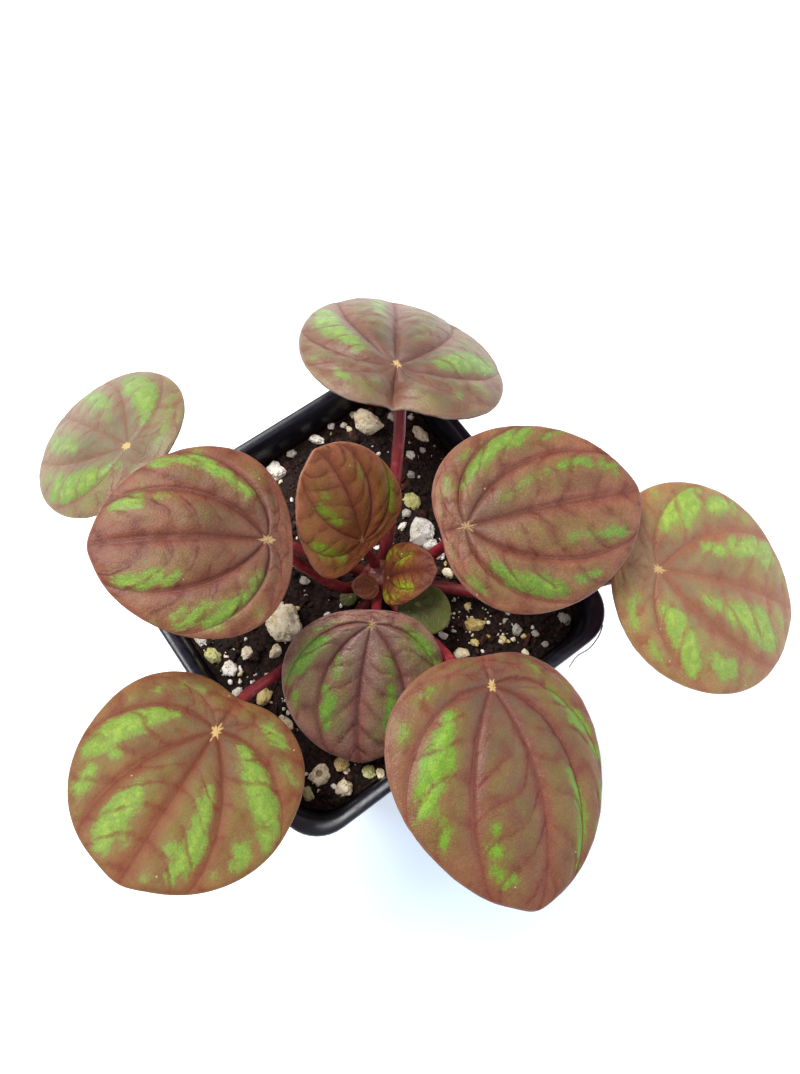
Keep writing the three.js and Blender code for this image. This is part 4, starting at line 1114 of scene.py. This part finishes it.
bm = bmesh.new()
middle = Vector((*crown["middle"], 0))
line = [bm.verts.new(middle + Vector((radius, 0, z))) for radius, z in crown["profile"]]
links = [bm.edges.new(pair) for pair in zip(line, line[1:])]
bmesh.ops.spin(bm, geom=line + links, cent=middle, axis=(0, 0, 1), angle=math.tau, steps=36,
               use_merge=True)
bmesh.ops.remove_doubles(bm, verts=bm.verts, dist=0.001)
bmesh.ops.recalc_face_normals(bm, faces=bm.faces)
bmesh.ops.subdivide_edges(bm, edges=bm.edges, cuts=3, use_grid_fill=True, smooth=1.0,
                          smooth_falloff="SMOOTH")
bm.normal_update()
for v in bm.verts:
    lump = noise.noise(v.co * 0.45) * crown["lumps"] + noise.noise(v.co * 1.4) * 0.15
    v.co += v.normal * (lump - 0.1)
bm.verts.layers.float.new("turn")
shareLayer = bm.verts.layers.float.new("share")
for v in bm.verts:
    v[shareLayer] = 0.5
crownValues = {**crownWood, "Seed": (3, 1, 2)}
crownSkin = newSkin("crownSkin", stemSkin, crownValues, {"Specular IOR Level": 0.4}, 0.9)
finishPiece("short_crown", bm, [crownSkin], "crown", "crown")
print("crown made")


# Stones

stones = [
    {"at": (27.5, 35), "size": (6.4, 8.2, 6.4), "turn": 10, "tint": "cream"},
    {"at": (13.6, 38), "size": (2.8, 4.6, 2.8), "turn": 40, "tint": "white"},
    {"at": (0.5, 37), "size": (5.6, 5.2, 4.6), "turn": 0, "tint": "white"},
    {"at": (37, 23.8), "size": (3, 6.2, 3.6), "turn": 10, "tint": "cream"},
    {"at": (31.5, 20.5), "size": (2.4, 4, 2.6), "turn": 30, "tint": "white"},
    {"at": (24, 10), "size": (4, 4.6, 3.6), "turn": 0, "tint": "moss"},
    {"at": (21, 2), "size": (8.8, 6.6, 6), "turn": 25, "tint": "white"},
    {"at": (21.5, -5), "size": (4.2, 2.8, 2.8), "turn": 40, "tint": "white"},
    {"at": (20, -10.6), "size": (2.6, 3.8, 2.8), "turn": 20, "tint": "cream"},
    {"at": (-20, 2.5), "size": (9.4, 8.6, 7.6), "turn": 50, "tint": "cream"},
    {"at": (-25.5, -2.2), "size": (4, 3.2, 3), "turn": 20, "tint": "cream"},
    {"at": (-38.2, 11.8), "size": (2.6, 6.8, 3), "turn": -5, "tint": "white"},
    {"at": (-38, 5.2), "size": (3.8, 4.6, 3.4), "turn": 15, "tint": "moss"},
    {"at": (-36.4, 0.6), "size": (3.6, 3.8, 3.2), "turn": 0, "tint": "white"},
    {"at": (-31, 1.6), "size": (3.8, 3.2, 3), "turn": 30, "tint": "cream"},
    {"at": (-33.5, -9.4), "size": (5, 4, 3.6), "turn": 35, "tint": "tan"},
    {"at": (-38, -5), "size": (3.4, 3, 2.8), "turn": 60, "tint": "white"},
    {"at": (-32.4, -17.4), "size": (2.2, 4.8, 2.6), "turn": 10, "tint": "cream"},
    {"at": (-32.8, -31.8), "size": (4.6, 4.2, 3.8), "turn": 0, "tint": "cream", "hole": (0.1, 0.2, 0.75)},
    {"at": (-27.2, -32.6), "size": (4.2, 3.4, 3.2), "turn": 30, "tint": "tan"},
    {"at": (-30, -37.2), "size": (4.4, 4.4, 3.6), "turn": 15, "tint": "cream"},
    {"at": (-23.4, -37.8), "size": (3, 3.6, 2.8), "turn": 0, "tint": "moss"},
    {"at": (17.4, -24.6), "size": (6, 3.6, 3.2), "turn": -30, "tint": "tan"},
    {"at": (10.2, -28.4), "size": (3.8, 2.6, 2.6), "turn": -20, "tint": "cream"},
    {"at": (24.8, -31.8), "size": (3.2, 3.2, 2.8), "turn": 0, "tint": "grey"},
    {"at": (36, -36.2), "size": (2.6, 3.8, 2.8), "turn": 0, "tint": "grey"},
]


def buildSoilSmudge():
    # dark soil rubbed on whatever lies low in the pot, as a mask
    group, given = newGroup("soilSmudge", {"Mask": "Float"}, Float=("Clean Height", "Amount"))
    spot = millimetres(group)
    low = given["Clean Height"] - spot.split()[2]
    buried = (low + (spot.cloud(0.7, 4, 0.65) - 0.5) * 4.5).fade(0.0, 1.6)
    return closeGroup(group, Mask=buried * given["Amount"])


def smudged(tree, cleanHeight, amount):
    sockets = {"Clean Height": cleanHeight, "Amount": amount}
    return feed(tree, "ShaderNodeGroup", sockets, "Mask", node_tree=soilSmudge)


def buildStoneSkin():
    # chalky pumice: pores and a hole painted dark, as painted shade in the hollows; powdery pale faces and soil
    # low down and in patches
    group, given = newGroup("stoneSkin", Color=("Main", "Warm", "Pore", "Soil"), Vector=("Seed", "Hole"),
                            Float=("Clean Height", "Hole Size"))
    spot = millimetres(group, given["Seed"])
    patchy = spot.cloud(0.45, 4, 0.6)
    powder = spot.cloud(3.5, 4, 0.7)
    skin = given["Main"].toward(given["Warm"], patchy.fade(0.4, 0.68))
    skin = skin.toward(given["Warm"], powder.fade(0.3, 0.6, 0.28, 0))
    # pits, fine pores and the hole get the dark Pore tone: painted shade
    pit = spot.cells(1.5).fade(0.1, 0.26, 1, 0) * patchy.fade(0.4, 0.55)
    fine = spot.cells(3.6).fade(0.08, 0.24, 1, 0) * powder.fade(0.45, 0.6)
    hollow = millimetres(group).apart(given["Hole"]) / given["Hole Size"] + (powder - 0.5) * 0.7
    pores = pit.calc("MAXIMUM", fine * 0.6).calc("MAXIMUM", hollow.fade(0.75, 1.1, 1, 0))
    skin = skin.toward(given["Pore"], pores * 0.75)
    skin = skin.toward(given["Soil"], smudged(group, given["Clean Height"], 0.85))
    skin = skin.toward(given["Soil"], spot.cloud(1.1, 3, 0.6).fade(0.62, 0.7, 0, 0.75))
    rough = powder.fade(0.2, 0.8, 0.78, 0.98)
    return closeGroup(group, Color=skin, Roughness=rough, Height=powder * 0.22 - pores * 0.3)


soilSmudge = buildSoilSmudge()
stoneSkin = buildStoneSkin()
soilTone = tone(44, 30, 22)
stoneTones = {
    "cream": {"Main": (248, 238, 210), "Warm": (222, 202, 158), "Pore": (112, 88, 56)},
    "white": {"Main": (252, 250, 244), "Warm": (226, 216, 194), "Pore": (124, 110, 84)},
    "grey": {"Main": (204, 202, 192), "Warm": (172, 164, 146), "Pore": (92, 84, 70)},
    "moss": {"Main": (214, 212, 156), "Warm": (170, 168, 92), "Pore": (84, 80, 34)},
    "tan": {"Main": (226, 208, 150), "Warm": (194, 164, 96), "Pore": (92, 66, 34)},
}
stoneShape = {
    "flats": 6,
    "shallow": 0.76,  # how deep the flat faces may cut
    "flatten": 0.86,
    "lumps": [(1.1, 0.42), (2.3, 0.20), (5.2, 0.07), (11, 0.035)],  # scale and height
    "pores": 0.10,
    "swell": 1.07,  # how far a lump may stand out at the sides of its solid
}


def newStoneSkin(name, tint, seed, cleanHeight, hole, holeSize):
    values = {**toned(stoneTones[tint]), "Soil": soilTone, "Seed": seed, "Clean Height": cleanHeight,
              "Hole": hole, "Hole Size": holeSize}
    return newSkin(name, stoneSkin, values, {"Specular IOR Level": 0.25}, 1.0)


def shapeStone(verts, middle, half, turn, seed, rough=1.0):
    # knocks flat faces, lumps and pores into a unit ball, then fits it to its size
    dice = random.Random(seed)
    flats = []
    for _ in range(stoneShape["flats"]):
        toward = Vector((dice.gauss(0, 1), dice.gauss(0, 1), dice.gauss(0, 1))).normalized()
        flats.append((toward, dice.uniform(stoneShape["shallow"], 0.95)))
    shift = Vector((seed * 3.7, seed * -1.9, seed * 2.3))
    for v in verts:
        spot = v.co.normalized()
        size = 1
        for scale, height in stoneShape["lumps"]:
            size += height * rough * noise.noise(spot * scale + shift)
        near = noise.voronoi(spot * 3.4 + shift)[0][0]
        size -= stoneShape["pores"] * rough * max(0, 1 - near / 0.34)
        v.co = spot * size
        for toward, limit in flats:
            over = v.co.dot(toward) - limit
            if over > 0:
                v.co -= toward * over * stoneShape["flatten"]
    spread = [max(abs(v.co[k]) for v in verts) for k in range(3)]
    spin = Matrix.Rotation(math.radians(turn), 4, "Z")
    for v in verts:
        v.co = spin @ Vector([v.co[k] / spread[k] * half[k] for k in range(3)]) + middle


for index, stone in enumerate(stones):
    node = f"stone_{index + 1}"
    low, high = (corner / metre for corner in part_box(node))
    bm = bmesh.new()
    big = max(stone["size"]) > 5
    made = bmesh.ops.create_icosphere(bm, subdivisions=6 if big else 5, radius=1)
    half = [s / 2 for s in stone["size"]]
    middle = (low + high) / 2
    shapeStone(made["verts"], middle, half, stone["turn"], index + 1)
    # the lumps fill the solid's own box
    for k, swell in enumerate((stoneShape["swell"], stoneShape["swell"], 1)):
        wide = max(abs(v.co[k] - middle[k]) for v in bm.verts)
        fit = (high[k] - low[k]) / 2 / wide * swell
        for v in bm.verts:
            v.co[k] = middle[k] + (v.co[k] - middle[k]) * fit
    # one stone has a hole in its top, which its skin paints dark as shade
    holeX, holeY, holeSize = stone.get("hole", (0, 0, 0.001))
    mouth = Vector((middle.x + holeX, middle.y + holeY, max(v.co.z for v in bm.verts)))
    for v in bm.verts:
        near = (v.co - mouth).length / (holeSize * 1.3)
        if near < 1:
            v.co.z -= holeSize * 0.8 * (1 - near * near)
    seed = (index * 9.1, index * -4.3, index * 6.7)
    hole = mouth - Vector((0, 0, holeSize * 0.5))
    skin = newStoneSkin(node + "Skin", stone["tint"], seed, middle.z - 0.3, hole, holeSize)
    finishPiece(f"pumice_{index + 1}", bm, [skin], "stone_" + stone["tint"], node)
print("stones made,", len(stones))


# Soil and what lies in it

soil = {
    "top": 77, "low": 2.1, "gap": 0.35, "wall": 1.3, "base": 32, "rim": 43.1, "height": 86, "corner": 0.216,
    "grid": 170, "clods": 0.55, "grains": 0.28,
    "crumbs": 1500, "crumbSizes": (0.6, 0.8, 0.8, 1.0, 1.3, 1.7, 2.2),
    "chips": 220, "chipLength": (1.2, 4.0), "chipWidth": (0.22, 0.6), "chipThick": (0.25, 0.7),
    "fibres": 300, "fibreLength": (2, 8), "fibreThick": (0.10, 0.26), "fibreBend": 0.5,
    "specks": 330, "speckSizes": (0.4, 0.5, 0.5, 0.6, 0.7, 0.9, 1.1, 1.5), "speckCleanHeight": 76.4,
    "speckTints": ("white", "white", "cream", "cream", "tan"),
}
# perlite too small for the solids: x, y, length, width and tint
grit = [
    (19.3, 39.4, 2.3, 2.0, "white"), (22, 37.9, 2.1, 1.8, "white"), (25.9, 39, 2.4, 1.8, "cream"),
    (6.5, 38.6, 3.1, 2.2, "grey"), (37.9, 29.6, 2.1, 1.7, "white"), (17.8, 6.1, 3.2, 2.0, "white"),
    (-34.6, -1.2, 2.6, 1.2, "white"), (-21.6, -39.6, 2.8, 2.2, "cream"), (-37.2, -33.6, 4.0, 2.7, "moss"),
    (18.6, -20.1, 2.5, 2.0, "tan"), (9.6, -22.3, 2.9, 1.9, "white"), (14.5, -28.2, 2.6, 2.0, "tan"),
    (24.1, -28.4, 2.5, 1.9, "grey"), (27.8, -35, 2.1, 1.9, "grey"), (20.8, -31.5, 2.3, 1.6, "tan"),
    (28.3, -38.3, 2.0, 1.7, "grey"), (23, -37.2, 2.4, 1.6, "cream"), (-10.3, -1.9, 1.9, 1.7, "white"),
    (-11.8, 4.9, 1.9, 1.4, "cream"), (20.7, -2.1, 6.2, 4.1, "white"), (-6.9, 15.8, 3.2, 1.9, "cream"),
    (24.8, 25.8, 1.4, 1.1, "white"), (28, 16.3, 2.9, 2.2, "grey"), (9.6, 5.2, 1.9, 1.4, "white"),
    (15.5, -10.8, 1.3, 1.1, "white"), (-10, 8.2, 2.7, 2.3, "grey"), (-2.2, -4.8, 3.4, 1.8, "cream"),
    (-9.8, 13.4, 1.6, 1.3, "white"), (20.7, 8, 2.6, 2.5, "grey"), (37.9, 19.1, 1.4, 1, "grey"),
    (34.6, 20.1, 2, 1.7, "grey"), (33.9, 32.5, 3, 2.5, "grey"), (22.5, 36, 2.2, 1.7, "cream"),
]
strayFibre = {
    "thick": 0.32,
    "through": [(39.5, -43.2, 86.2), (37.2, -44.6, 86.1), (33.5, -45.6, 85.6), (30.5, -45.3, 84.4),
                (28, -46.1, 82.2)],
}
dice = random.Random(41)


def wallHalf(z):
    return soil["base"] + (soil["rim"] - soil["base"]) * z / soil["height"]


def squareReach(angle):
    # reach of a square with rounded corners and a half width of 1
    across = max(abs(math.cos(angle)), abs(math.sin(angle)))
    along = min(abs(math.cos(angle)), abs(math.sin(angle)))
    flat = 1 - soil["corner"]
    if along / across <= flat:
        return 1 / across
    middle = flat * (across + along)
    return middle + math.sqrt(max(middle * middle - 2 * flat * flat + soil["corner"] ** 2, 0))


def onSquare(angle, size, z, inset=0):
    reach = squareReach(angle) * size - inset
    return Vector((math.cos(angle) * reach, math.sin(angle) * reach, z))


def clods(x, y):
    # loose soil: clumps, crumbs between them and a few dips
    spot = Vector((x * 0.21, y * 0.21, 3.1))
    big = noise.noise(spot) * soil["clods"]
    mid = noise.noise(Vector((x * 0.62, y * 0.62, 8.4))) * soil["clods"] * 0.75
    cell = noise.voronoi(Vector((x * 0.55, y * 0.55, 1.7)))[0]
    crumb = (0.4 - min(cell[0], 0.7)) * 0.8
    fine = noise.noise(Vector((x * 1.9, y * 1.9, 5.5))) * soil["grains"]
    finer = noise.noise(Vector((x * 3.7, y * 3.7, 9.2))) * soil["grains"] * 0.5
    return big + mid + crumb + fine + finer


def groundAt(x, y):
    return soilHeight(x, y) + min(clods(x, y), 0.9) * 0.85


def buildSoilSkin():
    # damp bark and peat: hollows painted nearly black as shade, reddish fibres, dry brown crumbs and pale dust
    group, given = newGroup("soilSkin", Color=("Dark", "Brown", "Rust", "Pale"), Vector=("Seed",))
    spot = millimetres(group, given["Seed"])
    patchy = spot.cloud(0.28, 5, 0.65)
    crumb = spot.cells(1.15)
    fine = spot.cloud(2.6, 4, 0.7)
    fibre = spot.stretched((0.2, 0.1, 0.9), (1, 0.16, 1)).cloud(2.4, 3, 0.6, 1.2)
    chances = crumb.chances()
    skin = given["Dark"].toward(given["Brown"], patchy.fade(0.35, 0.62))
    skin = skin.toward(given["Rust"], chances[0].fade(0.62, 0.95, 0, 0.65))
    skin = skin.toward(given["Dark"], chances[1].fade(0.0, 0.35, 0.7, 0))
    skin = skin.toward(given["Rust"], fibre.fade(0.6, 0.68, 0, 0.5))
    skin = skin.toward(given["Pale"], fine.fade(0.6, 0.74) * chances[2].fade(0.7, 0.9) * 0.7)
    # darker toward each crumb's edge, where the relief dips: painted shade between the crumbs
    skin = skin.toward(given["Dark"], crumb.fade(0.35, 0.75, 0, 0.75))
    rough = patchy.fade(0.3, 0.7, 0.62, 0.92)
    return closeGroup(group, Color=skin, Roughness=rough, Height=fine * 0.4 - crumb * 0.35 + fibre * 0.2)


soilSkin = buildSoilSkin()
# the tones and the seed of each thing made of potting mix
mixTones = {
    "soil": {"Dark": (17, 10, 9), "Brown": (44, 27, 21), "Rust": (74, 40, 28), "Pale": (176, 152, 122),
             "Seed": (0, 0, 0)},
    "crumb": {"Dark": (26, 15, 12), "Brown": (56, 34, 26), "Rust": (74, 40, 28), "Pale": (176, 152, 122),
              "Seed": (11, 3, 7)},
    "bark": {"Dark": (36, 19, 14), "Brown": (78, 44, 32), "Rust": (112, 62, 42), "Pale": (178, 142, 108),
             "Seed": (5, 17, 2)},
    "fibre": {"Dark": (52, 32, 22), "Brown": (98, 66, 46), "Rust": (124, 84, 58), "Pale": (186, 156, 122),
              "Seed": (1, 9, 4)},
}


def newMixSkin(kind, relief=1.0):
    values = dict(mixTones[kind])
    seed = values.pop("Seed")
    values = {**toned(values), "Seed": seed}
    return newSkin(kind + "Skin", soilSkin, values, {"Specular IOR Level": 0.3}, relief)


bm = bmesh.new()
bmesh.ops.create_grid(bm, x_segments=soil["grid"], y_segments=soil["grid"], size=1)
half = wallHalf(soil["top"]) - soil["wall"] - soil["gap"]
for v in bm.verts:
    x, y = v.co.x, v.co.y
    far = max(abs(x), abs(y))
    if far > 1e-6:
        angle = math.atan2(y, x)
        x, y = (Vector((math.cos(angle), math.sin(angle))) * far * squareReach(angle) * half)
    edge = min(1, (1 - far) / 0.03)
    v.co = Vector((x, y, soilHeight(x, y) + clods(x, y) * edge - 0.4 * (1 - edge)))
border = [e for e in bm.edges if e.is_boundary]
for level in (soil["top"] - 3, 50, 25, soil["low"] + 1, soil["low"]):
    grown = bmesh.ops.extrude_edge_only(bm, edges=border)["geom"]
    border = [e for e in only(BMEdge, grown) if e.is_boundary]
    size = wallHalf(level) - soil["wall"] - soil["gap"]
    for v in only(BMVert, grown):
        v.co = onSquare(math.atan2(v.co.y, v.co.x), size, level, 0.5 if level == soil["low"] else 0)
bmesh.ops.contextual_create(bm, geom=border)
bmesh.ops.recalc_face_normals(bm, faces=bm.faces)
finishPiece("potting_mix", bm, [newMixSkin("soil")], "soil", "soil")


def clearSpot():
    # a random place on the soil, off the larger stones
    while True:
        x, y = dice.uniform(-40, 40), dice.uniform(-40, 40)
        angle = math.atan2(y, x)
        inside = math.hypot(x, y) < squareReach(angle) * (half - 1.2)
        free = all(math.hypot(x - s["at"][0], y - s["at"][1]) > min(s["size"][:2]) * 0.42 for s in stones)
        if inside and free:
            return x, y


# spots where the mix is richest in perlite: x, y and spread
richSpots = [
    (17, -25, 5), (24, -30, 7), (15, -19, 6), (22, -3, 6),
    (-36, -6, 6), (-32, -13, 6), (-30, -34, 7), (-37, 5, 5),
]


def looseTurn():
    tilt = Matrix.Rotation(dice.gauss(0, 0.35), 4, "X") @ Matrix.Rotation(dice.gauss(0, 0.35), 4, "Y")
    return tilt @ Matrix.Rotation(dice.uniform(0, math.tau), 4, "Z")


bm = bmesh.new()
for _ in range(soil["crumbs"]):
    x, y = clearSpot()
    size = dice.choice(soil["crumbSizes"]) * dice.uniform(0.7, 1.2)
    made = bmesh.ops.create_icosphere(bm, subdivisions=2 if size > 1.2 else 1, radius=size / 2)
    shift = Vector((dice.uniform(0, 50), dice.uniform(0, 50), 0))
    flatten = Vector((dice.uniform(0.7, 1.3), dice.uniform(0.7, 1.1), dice.uniform(0.5, 0.9)))
    turn = looseTurn()
    at = Vector((x, y, groundAt(x, y) + size * dice.uniform(-0.12, 0.22)))
    for v in made["verts"]:
        v.co *= 1 + 0.7 * noise.noise(v.co / size * 2.2 + shift)
        v.co = turn @ (v.co * flatten) + at
finishPiece("soil_crumbs", bm, [newMixSkin("crumb")], "soil")

bm = bmesh.new()
for _ in range(soil["chips"]):
    x, y = clearSpot()
    length = dice.uniform(*soil["chipLength"])
    made = bmesh.ops.create_cube(bm, size=1)
    size = Vector((length, length * dice.uniform(*soil["chipWidth"]), dice.uniform(*soil["chipThick"])))
    edges = list({e for v in made["verts"] for e in v.link_edges})
    cut = bmesh.ops.subdivide_edges(bm, edges=edges, cuts=1, use_grid_fill=True)
    verts = joinedVerts(only(BMVert, cut["geom_inner"])[0])
    shift = Vector((dice.uniform(0, 50), 0, dice.uniform(0, 50)))
    turn = looseTurn()
    at = Vector((x, y, groundAt(x, y) + dice.uniform(0.0, 0.45)))
    for v in verts:
        v.co *= 1 + 0.5 * noise.noise(v.co * 1.7 + shift)
        v.co = turn @ (v.co * size) + at
finishPiece("bark_chips", bm, [newMixSkin("bark")], "soil")

bm = bmesh.new()
for _ in range(soil["fibres"]):
    x, y = clearSpot()
    length = dice.uniform(*soil["fibreLength"])
    heading = dice.uniform(0, math.tau)
    bend = dice.uniform(-soil["fibreBend"], soil["fibreBend"])
    points = []
    for step in range(4):
        px, py = x + math.cos(heading) * length * step / 3, y + math.sin(heading) * length * step / 3
        angle = math.atan2(py, px)
        limit = squareReach(angle) * (half - 0.8)
        keep = min(1, limit / max(math.hypot(px, py), 1e-6))
        px, py = px * keep, py * keep
        points.append(Vector((px, py, groundAt(px, py) + dice.uniform(0.05, 0.5))))
        heading += bend
    thick = dice.uniform(*soil["fibreThick"])
    addStem(bm, smoothRoute(points, 7), lambda share, t=thick: t * (1 - 0.6 * share), 4)
fibreSkin = newMixSkin("fibre", 0.6)
finishPiece("soil_fibres", bm, [fibreSkin], "soil")

# one long fibre has been dragged over the rim
bm = bmesh.new()
strand = smoothRoute([Vector(spot) for spot in strayFibre["through"]], 24)
addStem(bm, strand, lambda share: strayFibre["thick"] * (1 - 0.5 * share), 6)
finishPiece("stray_fibre", bm, [fibreSkin], "soil")
print("soil made")

# perlite specks, the seen ones first and then a scatter of finer ones
specks = list(grit)
for index in range(soil["specks"]):
    x, y = clearSpot()
    if index % 2:
        middleX, middleY, spread = dice.choice(richSpots)
        nearX, nearY = dice.gauss(middleX, spread / 2), dice.gauss(middleY, spread / 2)
        if max(abs(nearX), abs(nearY)) < 39 and abs(nearX) + abs(nearY) < 70:
            x, y = nearX, nearY
    long = dice.choice(soil["speckSizes"])
    wide = long * dice.uniform(0.6, 1)
    specks.append((x, y, long, wide, dice.choice(soil["speckTints"])))
for tint in ("white", "cream", "grey", "moss", "tan"):
    bm = bmesh.new()
    for x, y, long, wide, own in specks:
        if own != tint:
            continue
        made = bmesh.ops.create_icosphere(bm, subdivisions=4 if long > 1.8 else 2, radius=1)
        tall = wide * 0.8
        middle = Vector((x, y, groundAt(x, y) + tall * 0.28))
        sizes = (long / 2, wide / 2, tall / 2)
        shapeStone(made["verts"], middle, sizes, dice.uniform(0, 180), x * 3.1 + y, 1.3)
    skin = newStoneSkin(tint + "GritSkin", tint, (2, 8, 5), soil["speckCleanHeight"], (0, 0, -99), 1)
    finishPiece(f"perlite_grit_{tint}", bm, [skin], "stone_" + tint)
print("perlite made,", len(specks))


# Pot

pot = {
    "outside": [(0, 31.5), *((z, wallHalf(z)) for z in (0.8, 28, 56, 83.2)), (83.7, 44.2), (84.2, 44.5),
                (85.4, 44.5), (85.85, 44.25), (86, 43.9)],
    "inside": [(86, 43.2), (85.8, 42.4), (85.4, 41.8),
               *((z, wallHalf(z) - soil["wall"]) for z in (80, 60, 30, 1.8))],
    "drainRadius": 4, "drainAt": 18, "cornerSteps": 10, "flatSteps": 8,
    "halfInside": 31.25, "taper": 0.129,  # half width of the inside at the floor, and its growth with height
    "cleanHeight": 79.2,
}


def buildPotSkin():
    # thin moulded black plastic, satin, with scuffs, water marks, dust and soil rubbed on inside
    group, given = newGroup("potSkin", Color=("Plastic", "Worn", "Dust", "Soil"))
    spot = millimetres(group)
    broad = spot.cloud(0.05, 4, 0.6)
    patchy = spot.cloud(0.35, 5, 0.65)
    fine = spot.cloud(5.0, 3, 0.7)
    scuff = spot.stretched((0.3, 0.2, 0.7), (0.5, 9.0, 0.5)).cloud(0.9, 2, 0.5).fade(0.66, 0.72, 0, 0.16)
    grains = spot.cells(0.9)
    speck = grains.fade(0.05, 0.2, 1, 0) * grains.chances()[0].calc("GREATER_THAN", 0.9)
    film = patchy.fade(0.42, 0.75) * broad.fade(0.35, 0.65)
    skin = given["Plastic"].toward(given["Worn"], broad.fade(0.3, 0.7, 0, 0.6))
    skin = skin.toward(given["Dust"], film * 0.1)
    skin = skin.toward(given["Dust"], speck * 0.5)
    skin = skin.toward(given["Dust"], scuff)
    # soil sticks to the inside of the wall, above the soil line
    x, y, z = spot.split()
    wide = x.calc("ABSOLUTE").calc("MAXIMUM", y.calc("ABSOLUTE"))
    inward = (z * pot["taper"] + pot["halfInside"] - wide).fade(0.0, 0.3)
    skin = skin.toward(given["Soil"], smudged(group, pot["cleanHeight"], 0.8) * inward)
    rough = patchy.fade(0.2, 0.8, 0.24, 0.38) + film * 0.2 + fine * 0.06
    return closeGroup(group, Color=skin, Roughness=rough, Height=fine * 0.02 + broad * 0.35 - scuff * 0.1)


def ringAngles():
    # corner arcs get more steps than the flat sides
    turns = []
    corner = math.atan2(1, 1 - soil["corner"])
    flatEnd = math.atan2(1 - soil["corner"], 1)
    for quarter in range(4):
        start = quarter * math.pi / 2 - flatEnd
        turns += [start + 2 * flatEnd * i / pot["flatSteps"] for i in range(pot["flatSteps"])]
        start = quarter * math.pi / 2 + flatEnd
        turns += [start + (corner - flatEnd) * i / pot["cornerSteps"] for i in range(pot["cornerSteps"])]
    return turns


def placeRing(verts, turns, z, size):
    for v, angle in zip(verts, turns):
        v.co = onSquare(angle, size, z)


turns = ringAngles()
bm = bmesh.new()
ring = bmesh.ops.create_circle(bm, segments=len(turns), radius=1)["verts"]
profile = pot["outside"] + pot["inside"]
placeRing(ring, turns, *profile[0])
loop = list(bm.edges)
bmesh.ops.contextual_create(bm, geom=loop)
for z, size in profile[1:]:
    grown = bmesh.ops.extrude_edge_only(bm, edges=loop)["geom"]
    upper = set(only(BMVert, grown))
    ring = [next(e.other_vert(v) for e in v.link_edges if e.other_vert(v) in upper) for v in ring]
    placeRing(ring, turns, z, size)
    loop = [e for e in only(BMEdge, grown) if upper.issuperset(e.verts)]
bmesh.ops.contextual_create(bm, geom=loop)
bmesh.ops.recalc_face_normals(bm, faces=bm.faces)
# the navy of Plastic and Worn is partly the plastic's own tint and partly painted reflection of the pale blue
# room
plastic = toned({"Plastic": (6, 10, 24), "Worn": (10, 15, 34), "Dust": (86, 82, 80)})
potSkin = newSkin("potSkin", buildPotSkin(), {**plastic, "Soil": soilTone}, {"Specular IOR Level": 0.5}, 0.5)
vessel = finishPiece("nursery_pot", bm, [potSkin], "pot", "pot")

# drain holes through the floor
bm = bmesh.new()
radius = pot["drainRadius"] * metre
for sideways, ahead in ((-1, -1), (-1, 1), (1, -1), (1, 1)):
    made = bmesh.ops.create_cone(bm, cap_ends=True, segments=32, depth=6 * metre, radius1=radius,
                                 radius2=radius)
    shift = Vector((sideways, ahead, 0)) * pot["drainAt"] * metre
    bmesh.ops.translate(bm, vec=shift, verts=made["verts"])
cutter = newObject("drill", bm)
holes = vessel.modifiers.new("drainHoles", "BOOLEAN")
holes.operation = "DIFFERENCE"
holes.solver = "EXACT"
holes.object = cutter
bpy.context.view_layer.update()
drilled = bpy.data.meshes.new_from_object(vessel.evaluated_get(bpy.context.evaluated_depsgraph_get()))
vessel.modifiers.remove(holes)
vessel.data = drilled
bpy.data.objects.remove(cutter)
print("pot made,", len(vessel.data.polygons), "faces")


# Table, light and finish

def buildTableSkin():
    # a plain pale table, with a faint cool shadow painted in front of the pot
    group, given = newGroup("tableSkin", Color=("White",))
    spot = millimetres(group)
    fine = spot.cloud(2.0, 3, 0.6)
    skin = given["White"].toward((0.86, 0.87, 0.9, 1), spot.cloud(0.01, 3).fade(0.3, 0.7, 0, 0.05))
    # painted shadow: bluish, full near a spot in front of the pot and gone 75 mm from it
    skin = skin.toward((0.6, 0.74, 0.92, 1), spot.apart((-30, -78, 0)).fade(15, 75, 1, 0))
    return closeGroup(group, Color=skin, Roughness=fine.fade(0.2, 0.8, 0.6, 0.7), Height=fine * 0.05)


bm = bmesh.new()
bmesh.ops.create_grid(bm, x_segments=1, y_segments=1, size=3)
tableTop = newObject("tableTop", bm)
tableTop.data.materials.append(newSkin(
    "tableSkin", buildTableSkin(), {"White": (0.9, 0.9, 0.92, 1)},
    {"Specular IOR Level": 0.2, "Emission Color": (0.9, 0.95, 1, 1), "Emission Strength": 0.32}, 0.1))
tableTop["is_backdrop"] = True

lights = [
    # name, where from, aimed at, width, power, colour
    ("windowKey", (-0.25, 0.7, 1.3), (0, 0, 0.09), 0.8, 35, (1.0, 0.98, 0.95)),
    ("softFill", (0.9, -0.6, 0.9), (0, 0, 0.08), 1.2, 8, (0.93, 0.96, 1.0)),
]
for name, spot, aim, width, power, colour in lights:
    lamp = bpy.data.lights.new(name, "AREA")
    lamp.shape = "SQUARE"
    lamp.size = width
    lamp.energy = power
    lamp.color = colour
    holder = bpy.data.objects.new(name, lamp)
    scene.collection.objects.link(holder)
    toward = Vector(aim) - Vector(spot)
    turn = toward.to_track_quat("-Z", "Y").to_matrix().to_4x4()
    holder.matrix_world = Matrix.Translation(Vector(spot)) @ turn

sky = bpy.data.worlds.new("paleRoom")
scene.world = sky
sky.use_nodes = True
room = sky.node_tree.nodes["Background"]
room.inputs["Color"].default_value = (0.94, 0.96, 1.0, 1)
room.inputs["Strength"].default_value = 0.66

sizes = {"solids": [list(corner) for corner in cadBox], "dressed": [list(corner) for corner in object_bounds()]}
print("sizes", sizes)
